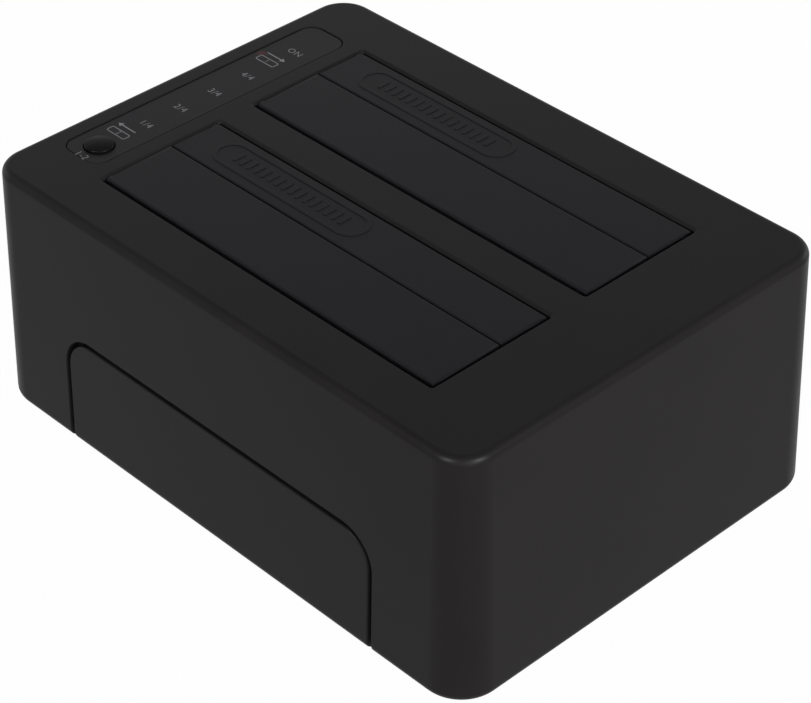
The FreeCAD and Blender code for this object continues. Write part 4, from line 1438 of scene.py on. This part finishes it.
@dataclass
class Rear:
    """The socket panel at the rear and the power button in it."""

    form: CaseForm
    arch: Arch
    margin: float = 3.0 * MM
    thickness: float = 2.0 * MM
    bottom: float = 3.0 * MM
    port_gap: float = 0.3 * MM
    button_gap: float = 0.25 * MM
    port_round: float = 0.3 * MM
    button_round: float = 0.5 * MM
    icon_radius: float = 1.7 * MM
    icon_line: float = 0.32 * MM
    icon_rise: float = 0.03 * MM
    icon_bar_top: float = 1.955 * MM

    def ports(self) -> list[Workpiece]:
        """Make what cuts the openings for the two sockets and the button."""
        made = []
        for node, gap in (("usb_shell", self.port_gap), ("power_jack", self.port_gap),
                          ("power_button", self.button_gap)):
            low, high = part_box(node)
            made.append(Workpiece.block("port", (low.x - gap, 0, low.z - gap),
                                        (high.x + gap, self.form.depth, high.z + gap)))
        return made

    def at_port(self, edge: Edge) -> bool:
        """Whether an edge is the outer rim of an opening."""
        inside = all(abs(vert.co.x) < self.arch.width / 2 - self.margin
                     and self.bottom + MM < vert.co.z < self.arch.top for vert in edge.verts)
        return inside and is_sharp(edge) and max(face.normal.y for face in edge.link_faces) > FACING

    def panel(self) -> None:
        """Make the panel with its rounded openings."""
        layer = self.form.wall_layer("rear_panel_plate", self.thickness, self.bottom)
        layer.combined(Join.KEEP_COMMON, [self.arch.grown(self.margin).block(self.bottom)])
        layer.combined(Join.CUT, self.ports())
        layer.rounded(self.at_port, self.port_round, 2)
        layer.finished(INNER_PLASTIC.material())
        layer.placed("case", "inner_plastic", ["rear_panel"])

    def power_button(self) -> None:
        """Make the square power button with its printed sign."""
        piece = Workpiece.copy_of("power_button")
        low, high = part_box("power_button")
        front = high.y - SAME_PLACE
        piece.rounded(lambda edge: is_sharp(edge) and all(vert.co.y > front for vert in edge.verts),
                      self.button_round, 4)
        piece.finished(BUTTON_PLASTIC.material())
        piece.placed("power_button", "button_plastic", ["power_button"])
        x, y, z = (low.x + high.x) / 2, high.y, (low.z + high.z) / 2
        line, rise = self.icon_line, self.icon_rise
        ring = Workpiece.drum("power_sign", self.icon_radius, (x, y, z), 2 * rise, Axis.Y)
        inner = Workpiece.drum("inner", self.icon_radius - line, (x, y, z), MM, Axis.Y)
        gap = Workpiece.block("gap", (x - 2 * line, y - MM, z),
                              (x + 2 * line, y + MM, z + 2 * self.icon_radius))
        bar = Workpiece.block("bar", (x - line / 2, y - rise, z + line),
                              (x + line / 2, y + rise, z + self.icon_bar_top))
        ring.combined(Join.CUT, [inner]).combined(Join.CUT, [gap]).with_joined([bar])
        ring.dressed(INK.material())
        ring.placed("power_button")

    def build(self) -> None:
        """Make the panel and the button."""
        self.panel()
        self.power_button()


@dataclass
class Underside:
    """What shows from below: feet and case screws."""

    foot_radius: float = 5.0 * MM
    foot_round: float = 0.5 * MM
    dimple_inset: float = 1.25 * MM
    dimple_slope: float = 0.4 * MM
    foot_dimple: float = 0.25 * MM
    head_radius: float = 2.4 * MM
    head_height: float = 1.2 * MM
    head_round: float = 0.35 * MM
    shank_radius: float = 1.25 * MM
    shank_overlap: float = 0.6 * MM
    cross_length: float = 2.6 * MM
    cross_width: float = 0.55 * MM
    cross_depth: float = 0.9 * MM

    def feet(self) -> None:
        """Make four rubber feet, each with a shallow dimple."""
        low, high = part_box("rubber_feet")
        x, y = high.x - self.foot_radius, high.y - self.foot_radius
        foot = Workpiece.drum("rubber_feet_look", self.foot_radius, (x, y, (low.z + high.z) / 2),
                              high.z - low.z)
        foot.rounded(lambda edge: is_level(edge, low.z), self.foot_round, 4)
        foot.dished(lambda face: face.normal.z < -FACING,
                    [(self.dimple_inset, 0), (self.dimple_slope, -self.foot_dimple)])
        foot.fourfold(x, y).finished(RUBBER.material())
        foot.placed("case", "foot_rubber", ["rubber_feet"])

    def screws(self) -> None:
        """Make four screws with cross recesses."""
        low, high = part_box("case_screws")
        x, y = high.x - self.head_radius, high.y - self.head_radius
        head = Workpiece.drum("case_screws_look", self.head_radius, (x, y, low.z + self.head_height / 2),
                              self.head_height)
        head.rounded(lambda edge: is_level(edge, low.z), self.head_round, 4)
        length = high.z - low.z - self.head_height + self.shank_overlap
        shank = Workpiece.drum("shank", self.shank_radius, (x, y, high.z - length / 2), length,
                               sides=Sides.SOME)
        head.combined(Join.ADD, [shank])
        for size in ((self.cross_length, self.cross_width), (self.cross_width, self.cross_length)):
            slot = Workpiece.about("slot", (x, y, low.z), (*size, 2 * self.cross_depth))
            head.combined(Join.CUT, [slot])
        head.fourfold(x, y).finished(SCREW_STEEL.material())
        head.placed("case", "screw_steel", ["case_screws"])

    def build(self) -> None:
        """Make the feet and the screws."""
        self.feet()
        self.screws()


@dataclass
class Innards:
    """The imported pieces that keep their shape: some with softened edges, all with a finish."""

    soft_nodes: dict[str, tuple[Finish, float]] = field(default_factory=lambda: {
        "base_tray": (INNER_PLASTIC, 0.15 * MM),
        "front_bay_well": (INNER_PLASTIC, 0.25 * MM),
        "rear_bay_well": (INNER_PLASTIC, 0.25 * MM),
        "front_drive_socket": (SOCKET_PLASTIC, 0.2 * MM),
        "rear_drive_socket": (SOCKET_PLASTIC, 0.2 * MM),
        "usb_shell": (SOCKET_STEEL, 0.12 * MM),
        "usb_core": (USB_PLASTIC, 0.15 * MM),
        "power_jack": (SOCKET_PLASTIC, 0.2 * MM),
    })
    plain_nodes: dict[Finish, tuple[str, ...]] = field(default_factory=lambda: {
        SCREW_STEEL: ("board_screws", "indicator_board_screws", "well_screws"),
        ROD_STEEL: ("front_wide_flap_rod", "front_narrow_flap_rod", "rear_wide_flap_rod",
                    "rear_narrow_flap_rod"),
        BOARD: ("main_board", "indicator_board"),
        CHIP_EPOXY: ("copy_controller", "bridge_chips"),
        SOCKET_PLASTIC: ("clone_switch", "power_switch", "upper_cable_socket", "lower_cable_socket"),
        BUTTON_PLASTIC: ("clone_switch_plunger",),
        CONTACT_GOLD: ("front_drive_contacts", "rear_drive_contacts"),
        JACK_PIN_METAL: ("power_jack_pin",),
        CLEAR_PLASTIC: ("light_guide",),
        LAMP_EPOXY: ("indicator_lamps",),
        CAPACITOR_CAN: ("capacitors",),
        FERRITE: ("inductors",),
        CABLE_PLASTIC: ("flat_cable",),
    })

    def build(self) -> None:
        """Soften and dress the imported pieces."""
        for node, (finish, width) in self.soft_nodes.items():
            piece = Workpiece.copy_of(node)
            piece.softened(width).finished(finish.material())
            piece.placed("case", finish.name, [node])
        for finish, nodes in self.plain_nodes.items():
            for node in nodes:
                for holder in frame["nodes"][node].material_slots:
                    holder.material = finish.material()
                log.info("%s keeps its shape, in %s", node, finish.name)


@dataclass(frozen=True)
class Viewpoint:
    """Where the camera stands, as worked out from the straight edges in the photograph."""

    target: tuple[float, float, float] = (8.36 * MM, -5.53 * MM, 31.0 * MM)
    azimuth: float = 0.81079
    elevation: float = 0.64630
    roll: float = -0.006442
    distance: float = 605.48 * MM
    lens: float = 121.36
    sensor: float = 36.0
    near: float = 0.01
    far: float = 20.0

    def build(self) -> None:
        """Make the camera and use it."""
        back = Vector((math.sin(self.azimuth) * math.cos(self.elevation),
                       -math.cos(self.azimuth) * math.cos(self.elevation), math.sin(self.elevation)))
        level = Vector((math.cos(self.azimuth), math.sin(self.azimuth), 0))
        upward = back.cross(level)
        right = math.cos(self.roll) * level + math.sin(self.roll) * upward
        up = math.cos(self.roll) * upward - math.sin(self.roll) * level
        data = bpy.data.cameras.new("camera")
        data.lens = self.lens
        data.sensor_width = self.sensor
        data.clip_start = self.near
        data.clip_end = self.far
        camera = bpy.data.objects.new("camera", data)
        bpy.context.scene.collection.objects.link(camera)
        turn = Matrix((right, up, back)).transposed().to_4x4()
        camera.matrix_world = Matrix.Translation(Vector(self.target) + back * self.distance) @ turn
        bpy.context.scene.camera = camera


@dataclass(frozen=True)
class Lamp:
    """One soft lamp: where it stands, how large and how strong it is."""

    name: str
    place: tuple[float, float, float]
    size: float
    watts: float
    only_gloss: bool = False
    aim: tuple[float, float, float] = (0.0, 0.0, 30 * MM)

    def build(self) -> None:
        """Make the lamp, turned towards its aim."""
        data = bpy.data.lights.new(self.name, "AREA")
        data.shape = "SQUARE"
        data.size = self.size
        data.energy = self.watts
        lamp = bpy.data.objects.new(self.name, data)
        lamp.visible_camera = False
        lamp.visible_diffuse = not self.only_gloss
        lamp.location = self.place
        lamp.rotation_euler = (Vector(self.place) - Vector(self.aim)).to_track_quat("Z", "Y").to_euler()
        bpy.context.scene.collection.objects.link(lamp)


@dataclass
class Studio:
    """The pale floor, the plain background and the soft lamps."""

    floor_size: float = 8.0
    floor_tone: Colour = (0.9, 0.9, 0.9)
    floor_white: float = 0.98
    white: Colour = (1.0, 1.0, 1.0)
    horizon_level: float = 1.05
    overhead_level: float = 0.05
    fade: tuple[float, float] = (0.26, 0.82)
    lamps: tuple[Lamp, ...] = (
        Lamp("key", (1.43, -0.51, 0.46), 0.75, 14.5),
        Lamp("near", (1.16, -1.10, 0.35), 0.8, 6.0),
        Lamp("fill", (-1.33, 0.74, 0.52), 0.88, 0.6),
        Lamp("back", (0.37, 1.53, 0.40), 0.7, 6.0),
        Lamp("side", (-1.53, -0.45, 0.40), 0.7, 4.5),
        Lamp("right_glint", (1.29, 0.01, 0.97), 0.3, 50.0, only_gloss=True),
        Lamp("left_glint", (0.06, -1.29, 0.97), 0.3, 40.0, only_gloss=True),
    )

    @staticmethod
    def seen(wiring: Wiring) -> Socket:
        """Give 1 for a ray that shows the background: to the camera, a gloss or a glass."""
        path = wiring.add("ShaderNodeLightPath")
        shown = wiring.maths("MAXIMUM", path.outputs["Is Camera Ray"], path.outputs["Is Glossy Ray"])
        return wiring.maths("MAXIMUM", shown, path.outputs["Is Transmission Ray"])

    def floor(self) -> None:
        """Make the floor, nearly white to the eye but keeping a soft shadow."""
        clear_bench()
        bpy.ops.mesh.primitive_plane_add(size=self.floor_size)
        floor = Workpiece.fresh("floor")
        material = bpy.data.materials.new("floor")
        material.use_nodes = True
        material.node_tree.nodes.clear()
        wiring = Wiring(material.node_tree)
        plain = wiring.add("ShaderNodeBsdfDiffuse", {"Color": opaque(self.floor_tone)})
        white = wiring.add("ShaderNodeEmission", {"Color": opaque(self.white), "Strength": 1.0})
        share = wiring.maths("MULTIPLY", self.seen(wiring), self.floor_white)
        mixed = wiring.add("ShaderNodeMixShader", {0: share, 1: plain.outputs[0], 2: white.outputs[0]})
        wiring.add("ShaderNodeOutputMaterial", {"Surface": mixed.outputs[0]})
        floor.dressed(material)

    def world(self) -> None:
        """Make the background: white to the eye, and as light a bright horizon under a dim sky."""
        world = bpy.data.worlds.new("studio")
        bpy.context.scene.world = world
        world.use_nodes = True
        world.node_tree.nodes.clear()
        wiring = Wiring(world.node_tree)
        direction = wiring.add("ShaderNodeTexCoord").outputs["Generated"]
        height = wiring.add("ShaderNodeSeparateXYZ", {0: direction}).outputs["Z"]
        light = wiring.spread(height, self.horizon_level, self.overhead_level, self.fade,
                              interpolation_type="SMOOTHSTEP")
        level = wiring.spread(self.seen(wiring), light, 1.0)
        shade = wiring.add("ShaderNodeBackground", {"Color": opaque(self.white), "Strength": level})
        wiring.add("ShaderNodeOutputWorld", {"Surface": shade.outputs[0]})

    def build(self) -> None:
        """Set up the floor, the background and the lamps."""
        self.floor()
        self.world()
        for lamp in self.lamps:
            lamp.build()
        bpy.context.scene.view_settings.view_transform = "Standard"


def main() -> None:
    """Build the dock piece by piece, then the studio around it."""
    logging.basicConfig(level=logging.INFO, format="%(name)s: %(message)s")
    form = CaseForm()
    bays = (Bay("front"), Bay("rear"))
    strip = StripPlan()
    front_arch = Arch(width=100.5 * MM, top=form.foot + 30.5 * MM, shoulder=8.9 * MM,
                      y_range=(-form.depth, -form.depth / 4))
    rear_arch = Arch(width=84 * MM, top=form.foot + 24 * MM, shoulder=6 * MM,
                     y_range=(form.depth / 4, form.depth))
    Case(form, bays, strip, (front_arch, rear_arch)).build()
    FrontPanel(form, front_arch).build()
    for bay in bays:
        Flap(bay, FlapKind.WIDE, form.top).build()
        RibbedFlap(bay, FlapKind.NARROW, form.top).build()
    Legend(strip, form).build()
    Rear(form, rear_arch).build()
    Underside().build()
    Innards().build()
    Viewpoint().build()
    Studio().build()


if __name__ == "__main__":
    main()
